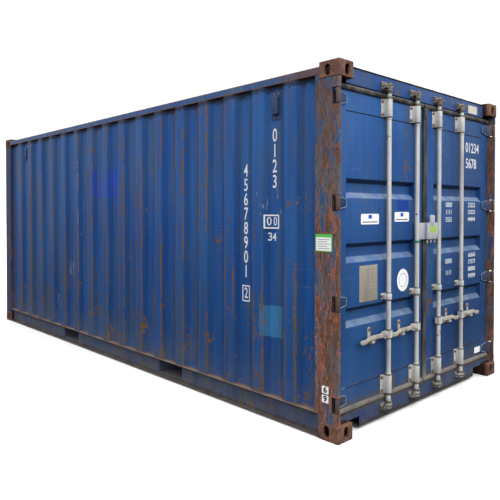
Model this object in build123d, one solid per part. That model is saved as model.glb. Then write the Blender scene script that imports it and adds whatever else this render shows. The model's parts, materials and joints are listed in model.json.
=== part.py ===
from build123d import *
import os

# A twenty-foot steel shipping container, closed, standing on its four bottom corner castings.
# The origin is at the middle of the underside, +X runs to the door end, +Z is up.

# Overall size
length = 6058.0
width = 2438.0
height = 2591.0
half_length = length / 2
half_width = width / 2

# Corner castings
casting_length = 178.0
casting_width = 162.0
casting_height = 118.0
casting_plate = 28.0
casting_wall = 16.0
casting_round = 9.0
twist_hole_length = 124.5
twist_hole_width = 63.5
twist_hole_from_end = 102.5
twist_hole_from_side = 89.5
lashing_hole_width = 51.0
lashing_hole_height = 79.5
casting_back = half_length - casting_length
casting_inner = half_width - casting_width
casting_under = height - casting_height

# How far the other pieces stand back from the castings' faces
side_setback = 3.0
end_setback = 5.0
top_rail_setback = 5.0
crest_setback = 9.0
end_crest_setback = 10.0
base_setback = 12.5
leaf_setback = 74.0
portal_setback = 67.0
skin = half_width - side_setback
end_face = half_length - end_setback

# Sheet and plate, and the room left between pieces that move past each other
steel = 4.5
post_steel = 6.0
leaf_steel = 3.2
sheet = 2.0
beam_round = 8.0
leaf_round = 4.0
gap = 6.0

# Bottom side rails, top side rails and floor
bottom_rail_height = 162.5
bottom_rail_top = base_setback + bottom_rail_height
bottom_rail_flange = 45.0
rail_web = skin - bottom_rail_flange
top_rail_size = 60.0
top_rail_drop = 28.0
top_rail_top = height - top_rail_drop
top_rail_bottom = top_rail_top - top_rail_size
floor_thickness = 28.0
floor_rise = 10.0
floor_top = bottom_rail_top + floor_rise
floor_bottom = floor_top - floor_thickness
floor_edge = 4.0

# Fork pockets and cross members
pocket_spacing = 2050.0
pocket_width = 360.0
pocket_height = 115.0
pocket_plate = 4.0
pocket_strap = 200.0
pocket_top = floor_bottom - pocket_plate
pocket_bottom = pocket_top - pocket_height
pocket_outer = pocket_width / 2 + pocket_plate
member_height = 122.0
member_flange = 45.0
outer_member_count = 5
inner_member_count = 5

# Door posts and end posts
post_overhang = 31.0
post_back = casting_back - post_overhang
post_width = 48.0
post_inner = skin - post_width
post_nose = 28.0
post_round = 14.0
end_post_width = 129.0
end_post_depth = 64.0
end_inner = end_face - end_post_depth
end_side = skin - end_post_width

# Side wall corrugation, as shares of one wave
crest_count = 16
crest_share = 0.306
slope_share = 0.194
far_share = 0.96
door_share = 0.72
wave_depth = 36.0
crest_line = half_width - crest_setback
trough_line = crest_line - wave_depth
pitch = (casting_back + post_back) / (crest_count - 1 + far_share + door_share)
first_crest = -casting_back + far_share * pitch

# End wall corrugation, as shares of one wave
end_crest_count = 7
end_crest_share = 0.333
end_slope_share = 0.167
end_margin_share = 1.05
end_wave_depth = 45.0
end_crest_line = half_length - end_crest_setback
end_pitch = 2 * end_side / (end_crest_count + end_margin_share)

# Roof ribs
rib_count = 19
rib_share = 0.386
rib_top_share = 0.245
rib_height = 18.0
rib_margin = 119.0
roof_edge = 29.0
rib_spacing = 2 * casting_back / (rib_count + 1)

# Door header and sill
portal_depth = 100.0
portal_face = half_length - portal_setback
portal_back = portal_face - portal_depth
header_hang = 18.0
header_drop = 11.0
header_bottom = casting_under - header_hang
header_top = height - header_drop
sill_bottom = 20.0
sill_height = 135.0
sill_top = sill_bottom + sill_height
notch_length = 167.0
notch_drop = 18.0
stop_lip = 13.0
stop_lip_drop = 35.0

# Door leaves
leaf_thickness = 50.0
leaf_side_gap = 3.0
gasket_band = 39.0
stile = 120.0
upper_rail = 140.0
lower_rail = 135.0
leaf_face = half_length - leaf_setback
leaf_back = leaf_face - leaf_thickness
leaf_edge = post_inner - leaf_side_gap
leaf_free_edge = 33.0
leaf_bottom = sill_top + gap + gasket_band
leaf_top = header_bottom - gap - gasket_band
panel_outer = leaf_edge - stile
panel_inner = leaf_free_edge + stile + 2.0
panel_bottom = leaf_bottom + lower_rail
panel_top = leaf_top - upper_rail
band_shares = (0.25, 0.485, 0.721)
band_height = 136.0
band_upper_slope = 28.0
band_lower_slope = 40.0
band_depth = 37.0
stop_gap = 10.0
post_stop = leaf_back - stop_gap

# Door gaskets
gasket_proud = 10.0
gasket_inset = 10.0
gasket_side = 9.0
gasket_round = 8.0
gasket_back = leaf_back + gasket_inset
gasket_front = leaf_face + gasket_proud
gasket_top = header_bottom - gap
gasket_bottom = sill_top + gap
seam_gasket_end = 22.0

# Door hinges
hinge_shares = (0.0, 0.328, 0.656, 1.0)
hinge_from_bottom = 55.0
hinge_from_top = 65.0
hinge_from_front = 22.0
hinge_from_side = 19.0
hinge_x = half_length - hinge_from_front
hinge_y = half_width - hinge_from_side
pin_radius = 9.0
pin_clearance = 0.5
eye_radius = 16.0
blade_height = 100.0
blade_tip_height = 56.0
blade_thickness = 10.0
blade_length = 115.0
blade_bend_inset = 7.0
blade_end = leaf_edge - blade_length
blade_bend = leaf_edge - blade_bend_inset
window_depth = 56.0
window_height = blade_height + 2 * gap
lug_plate = 12.0

# Lock bars
bar_stand_off = 42.0
bar_radius = 17.5
bar_wall = 3.5
bar_clearance = 0.5
bar_low_end = 65.0
bar_high_end = 55.0
bar_x = leaf_face + bar_stand_off
bar_inner = panel_inner + 20.0
bar_outer = (panel_inner + panel_outer) / 2 - 25.0
bar_places = (-bar_outer, -bar_inner, bar_inner, bar_outer)
bar_bottom = sill_bottom + bar_low_end
bar_top = header_top - bar_high_end
cam_height = 30.0
cam_collar = 22.0
cam_reach = 45.0
cam_width = 20.0
cam_low_inset = 20.0
cam_high_inset = 25.0
cam_heights = (bar_bottom + cam_low_inset, bar_top - cam_high_inset)
cone_height = 26.0
ring_radius = 22.0
ring_height = 16.0
ring_gap = 2.0

# Cam keepers
keeper_plate = 8.0
keeper_height = 70.0
keeper_fin = 10.0
keeper_reach = 50.0
keeper_long_side = cam_reach + 8.0
keeper_short_side = cam_collar + 10.0
keeper_round = 4.0

# Bar brackets
bracket_height = 137.0
bracket_width = 100.0
bracket_plate = 6.0
bracket_inset = 70.0
bracket_heights = (leaf_bottom + bracket_inset, leaf_top - bracket_inset)
strap_thickness = 6.0
guide_rise = 730.0
guide_height = leaf_bottom + guide_rise
guide_tall = 45.0
guide_width = 85.0

# Bar handles and their catches
handle_rise = 450.0
handle_height = leaf_bottom + handle_rise
handle_end_gap = 50.0
handle_reach = bar_outer - bar_inner - handle_end_gap
handle_tall = 32.0
handle_thick = 12.0
handle_pin_from_bar = 56.0
handle_pin_radius = 6.0
handle_pin_clearance = 0.4
handle_side_clearance = 0.5
handle_step_start = 105.0
handle_step_run = 38.0
handle_step_drop = 18.0
hub_half = 23.0
hub_round = 6.0
hub_height = 60.0
cheek_thick = 8.0
cheek_end = 74.0
cheek_tall = 48.0
catch_from_bar = handle_reach - 150.0
catch_width = 32.0
catch_below = 62.0
catch_above = 73.0
catch_plate = 8.0
catch_shelf = 20.0
catch_gap = 5.0
catch_reach = 50.0

# Lock box over the seam
box_rise = 1140.0
box_height = 135.0
box_bottom = leaf_bottom + box_rise
box_top = box_bottom + box_height
box_seam_gap = leaf_free_edge + 7.0
box_bar_gap = 9.5
box_outer = bar_inner - bar_radius - box_bar_gap
box_depth_left = 34.0
box_depth_right = 52.0
box_gasket_gap = 1.0
box_back = gasket_front + box_gasket_gap
box_steel = 4.0
tab_from_seam = 52.0
tab_half = 19.0
tab_rise = 22.0
tab_hole = 8.0
tab_steel = 6.0

# Side vents
vent_width = 87.0
vent_height = 210.0
vent_depth = 24.0
vent_drop = 45.0
vent_top = top_rail_bottom - vent_drop
vent_steel = 2.0


def block(x0, x1, y0, y1, z0, z1):
    """A box between two corners."""
    return Pos((x0 + x1) / 2, (y0 + y1) / 2, (z0 + z1) / 2) * Box(abs(x1 - x0), abs(y1 - y0), abs(z1 - z0))


def prism_z(points, z0, z1):
    """A plan outline raised from z0 to z1."""
    face = Face(Wire.make_polygon([(x, y, z0) for x, y in points], close=True))
    return Solid.extrude(face, Vector(0, 0, z1 - z0))


def prism_x(points, x0, x1):
    """An outline in Y and Z carried from x0 to x1."""
    face = Face(Wire.make_polygon([(x0, y, z) for y, z in points], close=True))
    return Solid.extrude(face, Vector(x1 - x0, 0, 0))


def prism_y(points, y0, y1):
    """An outline in X and Z carried from y0 to y1."""
    face = Face(Wire.make_polygon([(x, y0, z) for x, z in points], close=True))
    return Solid.extrude(face, Vector(0, y1 - y0, 0))


def rod_z(x, y, z0, z1, radius):
    """An upright round bar."""
    return Pos(x, y, (z0 + z1) / 2) * Cylinder(radius, z1 - z0)


def rod_x(x0, x1, y, z, radius):
    """A round bar along X."""
    return Pos((x0 + x1) / 2, y, z) * Rot(0, 90, 0) * Cylinder(radius, x1 - x0)


def slot(long_side, short_side, deep):
    """A round-ended bar for cutting a slot, long along X, deep along Z."""
    half = (long_side - short_side) / 2
    ends = Pos(half, 0, 0) * Cylinder(short_side / 2, deep) + Pos(-half, 0, 0) * Cylinder(short_side / 2, deep)
    return ends + Box(2 * half, short_side, deep)


def other_side(shape):
    """The same piece on the other long side."""
    return mirror(shape, about=Plane.XZ)


def far_end(shape):
    """The same piece at the other end."""
    return mirror(shape, about=Plane.YZ)


def both_sides(shape):
    """A piece and its mirror image across the middle."""
    return [shape, other_side(shape)]


def save(name, shapes):
    """Writes one node; every shape is a solid of it."""
    solids = []
    for shape in shapes:
        solids.extend(shape.solids())
    export_step(Compound(solids), os.path.join("parts", name + ".step"))


def casting():
    """Bottom casting at the door end on the -Y side, hollow, with its three holes."""
    outer = block(casting_back, half_length, -half_width, -casting_inner, 0, casting_height)
    body = fillet(outer.edges(), casting_round)
    body -= block(
        casting_back + casting_wall,
        half_length - casting_wall,
        -half_width + casting_wall,
        -casting_inner - casting_wall,
        casting_plate,
        casting_height - casting_wall,
    )
    twist_x = half_length - twist_hole_from_end
    twist_y = -half_width + twist_hole_from_side
    body -= Pos(twist_x, twist_y, 0) * slot(twist_hole_length, twist_hole_width, 3 * casting_plate)
    middle = (casting_plate + casting_height - casting_wall) / 2
    upright = Rot(90, 0, 0) * Rot(0, 0, 90) * slot(lashing_hole_height, lashing_hole_width, 3 * casting_wall)
    body -= Pos(twist_x, -half_width, middle) * upright
    body -= Pos(half_length, twist_y, middle) * Rot(0, 0, 90) * upright
    return body


def bottom_castings():
    near = both_sides(casting())
    return near + [far_end(shape) for shape in near]


def top_castings():
    return [Pos(0, 0, height) * mirror(shape, about=Plane.XY) for shape in bottom_castings()]


def hollow(points, wall):
    """A closed outline less the same outline drawn in by the wall."""
    outer = Face(Wire.make_polygon([(x, y, 0) for x, y in points], close=True))
    inner = offset(outer, amount=-wall, kind=Kind.INTERSECTION)
    return outer, inner.face()


def hinge_heights():
    """Heights of the hinges' middles, from the lowest up."""
    low = leaf_bottom + hinge_from_bottom
    high = leaf_top - hinge_from_top
    return [low + share * (high - low) for share in hinge_shares]


def door_post():
    """Door post on the -Y side with a window at every hinge."""
    nose = -skin + post_nose
    points = [
        (post_back, -skin),
        (end_face, -skin),
        (end_face, nose),
        (post_stop, nose),
        (post_stop, -post_inner),
        (post_back, -post_inner),
    ]
    outer, inner = hollow(points, post_steel)
    low = casting_height
    high = top_rail_bottom
    body = Solid.extrude(Pos(0, 0, low) * outer, Vector(0, 0, high - low))
    corner = body.edges().filter_by(Axis.Z).sort_by(lambda edge: edge.center().X - edge.center().Y)[-1]
    body = fillet(corner, post_round)
    body -= Solid.extrude(Pos(0, 0, low) * inner, Vector(0, 0, high - low))
    over = half_length + gap
    body -= block(casting_back, over, -half_width, -post_inner + gap, casting_under, high + gap)
    body -= block(post_back - gap, casting_back, -half_width, -post_inner + gap, low - gap, bottom_rail_top)
    cavity = (end_face - window_depth, end_face - post_steel, -skin + post_steel, nose - post_steel)
    half = window_height / 2
    for z in hinge_heights():
        body -= block(end_face - window_depth, over, -half_width, nose + gap, z - half, z + half)
        body += block(*cavity, z + half, z + half + lug_plate)
        body += block(*cavity, z - half - lug_plate, z - half)
        body -= rod_z(hinge_x, -hinge_y, z - half - 2 * lug_plate, z + half + 2 * lug_plate, pin_radius)
    return body


def hinge_pins():
    """Pins of the -Y leaf, each held in the lug above and below its window."""
    half = window_height / 2 + lug_plate
    return [rod_z(hinge_x, -hinge_y, z - half, z + half, pin_radius) for z in hinge_heights()]


def end_post():
    """Angle-shaped hollow post at the closed end, -Y side."""
    points = [
        (-end_face, -skin),
        (-casting_back, -skin),
        (-casting_back, -post_inner),
        (-end_inner, -post_inner),
        (-end_inner, -end_side),
        (-end_face, -end_side),
    ]
    outer, inner = hollow(points, post_steel)
    tall = casting_under - casting_height
    body = Solid.extrude(Pos(0, 0, casting_height) * outer, Vector(0, 0, tall))
    return body - Solid.extrude(Pos(0, 0, casting_height) * inner, Vector(0, 0, tall))


def pocket_centres():
    return (-pocket_spacing / 2, pocket_spacing / 2)


def rail_outline(low, high):
    """Section in Y and Z of the -Y bottom rail between two heights, with a flange where it reaches an edge."""
    points = [(-rail_web, low), (-rail_web, high)]
    if high >= bottom_rail_top:
        points += [(-skin, high), (-skin, high - steel), (-rail_web - steel, high - steel)]
    else:
        points += [(-rail_web - steel, high)]
    if low <= base_setback:
        points += [(-rail_web - steel, low + steel), (-skin, low + steel), (-skin, low)]
    else:
        points += [(-rail_web - steel, low)]
    return points


def bottom_rails():
    """Channels open to the outside, in three lengths a side between the fork pockets."""
    left, right = pocket_centres()
    outline = rail_outline(base_setback, bottom_rail_top)
    near = [
        prism_x(outline, -casting_back, left - pocket_outer),
        prism_x(outline, left + pocket_outer, right - pocket_outer),
        prism_x(outline, right + pocket_outer, casting_back),
    ]
    return near + [other_side(shape) for shape in near]


def pocket_bridges():
    """Rail pieces over and under each mouth of the fork pockets."""
    near = []
    for x in pocket_centres():
        near.append(prism_x(rail_outline(pocket_top, bottom_rail_top), x - pocket_outer, x + pocket_outer))
        near.append(prism_x(rail_outline(base_setback, pocket_bottom), x - pocket_outer, x + pocket_outer))
    return near + [other_side(shape) for shape in near]


def top_rail():
    """Square tube along the top of the -Y side."""
    outer = half_width - top_rail_setback
    inner = outer - top_rail_size
    body = block(-casting_back, casting_back, -outer, -inner, top_rail_bottom, top_rail_top)
    body = fillet(body.edges().filter_by(Axis.X), beam_round)
    low = top_rail_bottom + steel
    return body - block(-length, length, -outer + steel, -inner - steel, low, top_rail_top - steel)


def side_wave():
    """Plan points of the wall's outer face, end post to door post, as x and depth below the crests."""
    points = [(-casting_back, wave_depth)]
    crest = crest_share * pitch
    slope = slope_share * pitch
    for number in range(crest_count):
        middle = first_crest + number * pitch
        points.append((middle - crest / 2 - slope, wave_depth))
        points.append((middle - crest / 2, 0.0))
        points.append((middle + crest / 2, 0.0))
        points.append((middle + crest / 2 + slope, wave_depth))
    points.append((post_back, wave_depth))
    return points


def side_wall():
    """Corrugated side of the -Y long side."""
    outer = [(x, -crest_line + depth) for x, depth in side_wave()]
    inner = [(x, y + sheet) for x, y in reversed(outer)]
    return prism_z(outer + inner, bottom_rail_top, top_rail_bottom)


def end_wall():
    """Corrugated closed end between the end posts."""
    side = end_side
    end_crest = end_crest_share * end_pitch
    end_slope = end_slope_share * end_pitch
    outer = [(-end_crest_line + end_wave_depth, -side)]
    for number in range(end_crest_count):
        middle = (number - (end_crest_count - 1) / 2) * end_pitch
        outer.append((-end_crest_line + end_wave_depth, middle - end_crest / 2 - end_slope))
        outer.append((-end_crest_line, middle - end_crest / 2))
        outer.append((-end_crest_line, middle + end_crest / 2))
        outer.append((-end_crest_line + end_wave_depth, middle + end_crest / 2 + end_slope))
    outer.append((-end_crest_line + end_wave_depth, side))
    inner = [(x + sheet, y) for x, y in reversed(outer)]
    return prism_z(outer + inner, bottom_rail_top, casting_under)


def roof():
    """Flat sheet on the top rails with hollow ribs across it."""
    half = half_width - roof_edge
    base = top_rail_top + sheet
    rib_width = rib_share * rib_spacing
    rib_top_width = rib_top_share * rib_spacing
    rib_half = half_width - rib_margin
    body = block(-casting_back, casting_back, -half, half, top_rail_top, base)
    body += block(-end_inner, portal_back, -casting_inner, casting_inner, top_rail_top, base)
    for number in range(rib_count):
        x = (number - (rib_count - 1) / 2) * rib_spacing
        outer = [
            (x - rib_width / 2, base),
            (x + rib_width / 2, base),
            (x + rib_top_width / 2, base + rib_height),
            (x - rib_top_width / 2, base + rib_height),
        ]
        inner = [
            (x - rib_width / 2 + sheet, base - sheet),
            (x + rib_width / 2 - sheet, base - sheet),
            (x + rib_top_width / 2 - sheet, base + rib_height - sheet),
            (x - rib_top_width / 2 + sheet, base + rib_height - sheet),
        ]
        body += prism_y(outer, -rib_half, rib_half)
        body -= prism_y(inner, -rib_half + sheet, rib_half - sheet)
    return body


def end_box(x0, x1, side, z0, z1):
    """Hollow beam across the container, open at its ends."""
    body = block(x0, x1, -side, side, z0, z1)
    body = fillet(body.edges().filter_by(Axis.Y), beam_round)
    return body - block(x0 + steel, x1 - steel, -side - gap, side + gap, z0 + steel, z1 - steel)


def door_header():
    """Header beam with a stop lip behind the leaves from post to post."""
    body = end_box(portal_back, portal_face, casting_inner, header_bottom, header_top)
    low = header_bottom - stop_lip_drop
    return body + block(portal_back, portal_back + stop_lip, -post_inner, post_inner, low, casting_under)


def door_sill():
    """Sill beam with a notch at both lower ends and a raised back edge for the floor."""
    body = end_box(portal_back, portal_face, casting_inner, sill_bottom, sill_top)
    body += block(portal_back, portal_back + stop_lip, -post_inner, post_inner, sill_top, floor_top)
    for side in (-1, 1):
        outer = side * (casting_inner + gap)
        inner = side * (casting_inner - notch_length)
        notch_top = casting_height - notch_drop
        body -= block(portal_back - gap, portal_face + gap, inner, outer, sill_bottom - gap, notch_top)
        end_y = side * casting_inner
        body += block(portal_back, portal_face, end_y, side * post_inner, casting_height, sill_top)
    return body


def end_header():
    return end_box(-end_face, -end_inner, casting_inner, casting_under, header_top)


def end_sill():
    return end_box(-end_face, -end_inner, casting_inner, base_setback, bottom_rail_top)


def floor():
    """Plywood deck between the walls, cut out round the end posts."""
    half = trough_line - sheet - floor_edge
    body = block(-end_inner, portal_back, -half, half, floor_bottom, floor_top)
    for side in (-1, 1):
        inner = side * (post_inner - floor_edge)
        body -= block(-half_length, -casting_back + floor_edge, inner, side * half_width, 0, height)
    return body


def cross_member(x):
    """Channel under the deck from rail to rail."""
    low = floor_bottom - member_height
    outline = [
        (x, low),
        (x + member_flange, low),
        (x + member_flange, low + steel),
        (x + steel, low + steel),
        (x + steel, floor_bottom - steel),
        (x + member_flange, floor_bottom - steel),
        (x + member_flange, floor_bottom),
        (x, floor_bottom),
    ]
    return prism_y(outline, -rail_web, rail_web)


def spread(start, stop, count):
    """Places spaced evenly inside a stretch, with none at its ends."""
    step = (stop - start) / (count + 1)
    return [start + step * (number + 1) for number in range(count)]


def cross_members():
    left, right = pocket_centres()
    places = spread(-end_inner, left - pocket_outer - member_flange, outer_member_count)
    places += spread(left + pocket_outer, right - pocket_outer - member_flange, inner_member_count)
    places += spread(right + pocket_outer, portal_back - member_flange, outer_member_count)
    return [cross_member(x) for x in places]


def pocket_tops():
    """Top plates of the fork tunnels."""
    return [
        block(x - pocket_outer, x + pocket_outer, -rail_web, rail_web, pocket_top, floor_bottom)
        for x in pocket_centres()
    ]


def pocket_sides():
    """Side plates of the fork tunnels, rail to rail."""
    half = pocket_width / 2
    plates = []
    for x in pocket_centres():
        plates.append(block(x - pocket_outer, x - half, -rail_web, rail_web, pocket_bottom, pocket_top))
        plates.append(block(x + half, x + pocket_outer, -rail_web, rail_web, pocket_bottom, pocket_top))
    return plates


def pocket_straps():
    """Straps under both mouths of the fork tunnels, which are open below in the middle."""
    low = pocket_bottom - pocket_plate
    inner = rail_web - pocket_strap
    near = [
        block(x - pocket_outer, x + pocket_outer, -rail_web, -inner, low, pocket_bottom)
        for x in pocket_centres()
    ]
    return near + [other_side(shape) for shape in near]


def side_vent(number):
    """Pressed cover in the trough after the given crest, open at its lower edge."""
    x = first_crest + (number + 0.5) * pitch
    y = -trough_line
    half = vent_width / 2
    low = vent_top - vent_height
    body = block(x - half, x + half, y - vent_depth, y, low, vent_top)
    body -= block(
        x - half + vent_steel,
        x + half - vent_steel,
        y - vent_depth + vent_steel,
        y - vent_steel,
        low - gap,
        vent_top - vent_steel,
    )
    return body


def side_vents():
    near = [side_vent(number) for number in (0, crest_count - 2)]
    return near + [other_side(shape) for shape in near]


def handle_side(y):
    """Sign of the way a bar's handle points: towards its own leaf's hinges."""
    return -1 if y < 0 else 1


def cam_keeper(y, z):
    """Base plate and two fins around a cam, open to the front."""
    side = handle_side(y)
    long_edge = y + side * keeper_long_side
    short_edge = y - side * keeper_short_side
    half = keeper_height / 2
    x = portal_face
    body = block(x, x + keeper_plate, min(long_edge, short_edge), max(long_edge, short_edge), z - half, z + half)
    body += block(x, x + keeper_reach, long_edge, long_edge + side * keeper_fin, z - half, z + half)
    body += block(x, x + keeper_reach, short_edge, short_edge - side * keeper_fin, z - half, z + half)
    front = body.edges().filter_by(Axis.Z).sort_by(Axis.X)[-4:]
    return fillet(front, keeper_round)


def cam_keepers():
    return [cam_keeper(y, z) for y in bar_places for z in cam_heights]


def leaf_frame():
    """Ring of the -Y leaf: two upright tubes and two channels open to the inside."""
    body = block(leaf_back, leaf_face, -leaf_edge, -leaf_free_edge, leaf_bottom, leaf_top)
    body = fillet(body.edges().filter_by(Axis.Z), leaf_round)
    body -= block(leaf_back - gap, leaf_face + gap, -panel_outer, -panel_inner, panel_bottom, panel_top)
    x0 = leaf_back + leaf_steel
    x1 = leaf_face - leaf_steel
    below = leaf_bottom - gap
    above = leaf_top + gap
    body -= block(x0, x1, -leaf_edge + leaf_steel, -panel_outer - leaf_steel, below, above)
    body -= block(x0, x1, -panel_inner + leaf_steel, -leaf_free_edge - leaf_steel, below, above)
    open_back = leaf_back - gap
    for z0, z1 in ((leaf_bottom, panel_bottom), (panel_top, leaf_top)):
        body -= block(open_back, x1, -panel_outer, -panel_inner, z0 + leaf_steel, z1 - leaf_steel)
    return body


def leaf_panel():
    """Pressed sheet of the -Y leaf with its three sunk bands."""
    outer = [(leaf_face, panel_bottom)]
    for share in band_shares:
        low = panel_bottom + share * (panel_top - panel_bottom) - band_height / 2
        high = low + band_height
        outer.append((leaf_face, low))
        outer.append((leaf_face - band_depth, low + band_lower_slope))
        outer.append((leaf_face - band_depth, high - band_upper_slope))
        outer.append((leaf_face, high))
    outer.append((leaf_face, panel_top))
    inner = [(x - sheet, z) for x, z in reversed(outer)]
    return prism_y(outer + inner, -panel_outer, -panel_inner)


def leaf_gasket(free_end):
    """Rubber round the -Y leaf; free_end is where it stops at the seam."""
    outer = -leaf_edge - gasket_side
    top = block(gasket_back, gasket_front, outer, free_end, leaf_top, gasket_top)
    top = fillet(top.edges().filter_by(Axis.Y).sort_by(Axis.X)[-2:], gasket_round)
    low = block(gasket_back, gasket_front, outer, free_end, gasket_bottom, leaf_bottom)
    low = fillet(low.edges().filter_by(Axis.Y).sort_by(Axis.X)[-2:], gasket_round)
    side = block(gasket_back, leaf_face, outer, -leaf_edge, leaf_bottom, leaf_top)
    body = top + low + side
    if free_end > -leaf_free_edge:
        seam = block(gasket_back, gasket_front, -leaf_free_edge, free_end, leaf_bottom, leaf_top)
        body += seam
    return body


def hinge_blade(z):
    """Bent blade of the -Y leaf with an eye round the pin."""
    half = blade_height / 2
    eye = rod_z(hinge_x, -hinge_y, z - half, z + half, eye_radius)
    end_x = leaf_face + blade_thickness / 2
    run = Vector(end_x - hinge_x, -blade_bend + hinge_y, 0)
    across = Vector(-run.Y, run.X, 0).normalized() * (blade_thickness / 2)
    start = Vector(hinge_x, -hinge_y, 0)
    stop = start + run
    corners = [start + across, stop + across, stop - across, start - across]
    neck = prism_z([(corner.X, corner.Y) for corner in corners], z - half, z + half)
    flat = block(leaf_face, leaf_face + blade_thickness, -blade_bend - blade_thickness / 2, -blade_end, z - half, z + half)
    tip = blade_tip_height / 2
    taper = prism_x(
        [
            (-half_width - gap, z - half - gap),
            (-half_width - gap, z + half + gap),
            (-leaf_edge, z + half + gap),
            (-leaf_edge, z + half),
            (-blade_end, z + tip),
            (-blade_end, z - tip),
            (-leaf_edge, z - half),
            (-leaf_edge, z - half - gap),
        ],
        leaf_face,
        half_length,
    )
    body = (eye + neck + flat) & taper
    return body - rod_z(hinge_x, -hinge_y, z - half - gap, z + half + gap, pin_radius + pin_clearance)


def hinge_blades():
    return [hinge_blade(z) for z in hinge_heights()]


def bar_bracket(y, z, wide, tall):
    """Plate on the leaf with a strap of the same height bent round the bar."""
    low = z - tall / 2
    high = z + tall / 2
    bore = bar_radius + bar_clearance
    outside = bore + strap_thickness
    body = block(leaf_face, bar_x, y - outside, y + outside, low, high)
    body += rod_z(bar_x, y, low, high, outside)
    body -= block(leaf_face + bracket_plate, bar_x, y - bore, y + bore, low - gap, high + gap)
    body -= rod_z(bar_x, y, low - gap, high + gap, bore)
    return body + block(leaf_face, leaf_face + bracket_plate, y - wide / 2, y + wide / 2, low, high)


def bar_brackets(places):
    brackets = []
    for y in places:
        for z in bracket_heights:
            brackets.append(bar_bracket(y, z, bracket_width, bracket_height))
        brackets.append(bar_bracket(y, guide_height, guide_width, guide_tall))
    return brackets


def handle_catch(bar_y):
    """Plate, round above and pointed below, with a shelf under the stowed handle."""
    y = bar_y + handle_side(bar_y) * catch_from_bar
    half = catch_width / 2
    shelf_top = handle_height - handle_tall / 2 - catch_gap
    catch_bottom = handle_height - catch_below
    catch_top = handle_height + catch_above - half
    plate = [
        (y - half, catch_bottom + half),
        (y, catch_bottom),
        (y + half, catch_bottom + half),
        (y + half, catch_top),
        (y - half, catch_top),
    ]
    body = prism_x(plate, leaf_face, leaf_face + catch_plate)
    body += rod_x(leaf_face, leaf_face + catch_plate, y, catch_top, half)
    return body + block(leaf_face, leaf_face + catch_reach, y - half, y + half, shelf_top - catch_shelf, shelf_top)


def box_shell(x0, x1, y0, y1):
    """Sheet box of the lock, open below."""
    body = block(x0, x1, y0, y1, box_bottom, box_top)
    low = box_bottom - gap
    return body - block(x0 + box_steel, x1 - box_steel, y0 + box_steel, y1 - box_steel, low, box_top - box_steel)


def left_lock_box():
    """Half of the lock box that stops short of the seam."""
    return box_shell(leaf_face, leaf_face + box_depth_left, -box_outer, -box_seam_gap)


def right_lock_box():
    """Half of the lock box that stands on the leaf and reaches over the seam gasket, with a tab on top."""
    front = leaf_face + box_depth_right
    body = box_shell(box_back, front, -seam_gasket_end, box_outer)
    body += block(leaf_face, box_back, box_seam_gap, box_outer, box_bottom, box_top)
    top = box_top + tab_rise
    y0 = tab_from_seam - tab_half
    y1 = tab_from_seam + tab_half
    body += block(front - tab_steel, front, y0, y1, box_top, top)
    body += rod_x(front - tab_steel, front, tab_from_seam, top, tab_half)
    return body - rod_x(front - 2 * tab_steel, front + tab_steel, tab_from_seam, top, tab_hole)


def bar_cam(y, z, way):
    """Cam at one end of a bar with the cone that carries it; way is 1 at the top and -1 at the bottom."""
    half = cam_height / 2
    tip = y + handle_side(y) * (cam_reach - cam_width / 2)
    body = rod_z(bar_x, y, z - half, z + half, cam_collar)
    body += block(bar_x - cam_width / 2, bar_x + cam_width / 2, y, tip, z - half, z + half)
    body += rod_z(bar_x, tip, z - half, z + half, cam_width / 2)
    cone = Cone(bar_radius, cam_collar, cone_height)
    middle = z - way * (half + cone_height / 2)
    return body + Pos(bar_x, y, middle) * Rot(0, 90 - 90 * way, 0) * cone


def bar_ring(y, z, way):
    """Ring on a bar that runs against one bracket; way is 1 over the lower bracket and -1 under the upper."""
    near = z + way * (bracket_height / 2 + ring_gap)
    far = near + way * ring_height
    return rod_z(bar_x, y, min(near, far), max(near, far), ring_radius)


def bar_clevis(y):
    """Block on a bar with two cheeks and the pin that its handle turns on."""
    side = handle_side(y)
    low = handle_height - hub_height / 2
    hub = block(bar_x - hub_half, bar_x + hub_half, y - hub_half, y + hub_half, low, low + hub_height)
    body = fillet(hub.edges().filter_by(Axis.Z), hub_round)
    inner = handle_thick / 2 + handle_side_clearance
    cheek_low = handle_height - cheek_tall / 2
    for way in (-1, 1):
        x0 = bar_x + way * inner
        x1 = bar_x + way * (inner + cheek_thick)
        end = y + side * cheek_end
        body += block(min(x0, x1), max(x0, x1), y, end, cheek_low, cheek_low + cheek_tall)
    pin_y = y + side * handle_pin_from_bar
    reach = inner + cheek_thick
    return body + rod_x(bar_x - reach, bar_x + reach, pin_y, handle_height, handle_pin_radius)


def lock_bar(y):
    """Tube with a cam at both ends, a ring at both brackets and the clevis for its handle."""
    body = rod_z(bar_x, y, bar_bottom, bar_top, bar_radius)
    body += bar_clevis(y)
    for way, cam_z, bracket_z in zip((-1, 1), cam_heights, bracket_heights):
        body += bar_cam(y, cam_z, way)
        body += bar_ring(y, bracket_z, -way)
    return body - rod_z(bar_x, y, bar_bottom - gap, bar_top + gap, bar_radius - bar_wall)


def handle(y):
    """Flat handle on the clevis pin of its bar, with a step down to its grip."""
    side = handle_side(y)
    pin_y = y + side * handle_pin_from_bar
    end = y + side * (handle_reach - handle_tall / 2)
    step_end = y + side * (handle_reach - handle_step_start + handle_step_run)
    step_start = step_end - side * handle_step_run
    half = handle_tall / 2
    middle = handle_height
    grip = middle - handle_step_drop
    outline = [
        (pin_y, middle - half),
        (step_start, middle - half),
        (step_end, grip - half),
        (end, grip - half),
        (end, grip + half),
        (step_end, grip + half),
        (step_start, middle + half),
        (pin_y, middle + half),
    ]
    x0 = bar_x - handle_thick / 2
    x1 = bar_x + handle_thick / 2
    body = prism_x(outline, x0, x1)
    body += rod_x(x0, x1, pin_y, middle, half)
    body += rod_x(x0, x1, end, grip, half)
    return body - rod_x(x0 - gap, x1 + gap, pin_y, middle, handle_pin_radius + handle_pin_clearance)


os.makedirs("parts", exist_ok=True)

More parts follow.
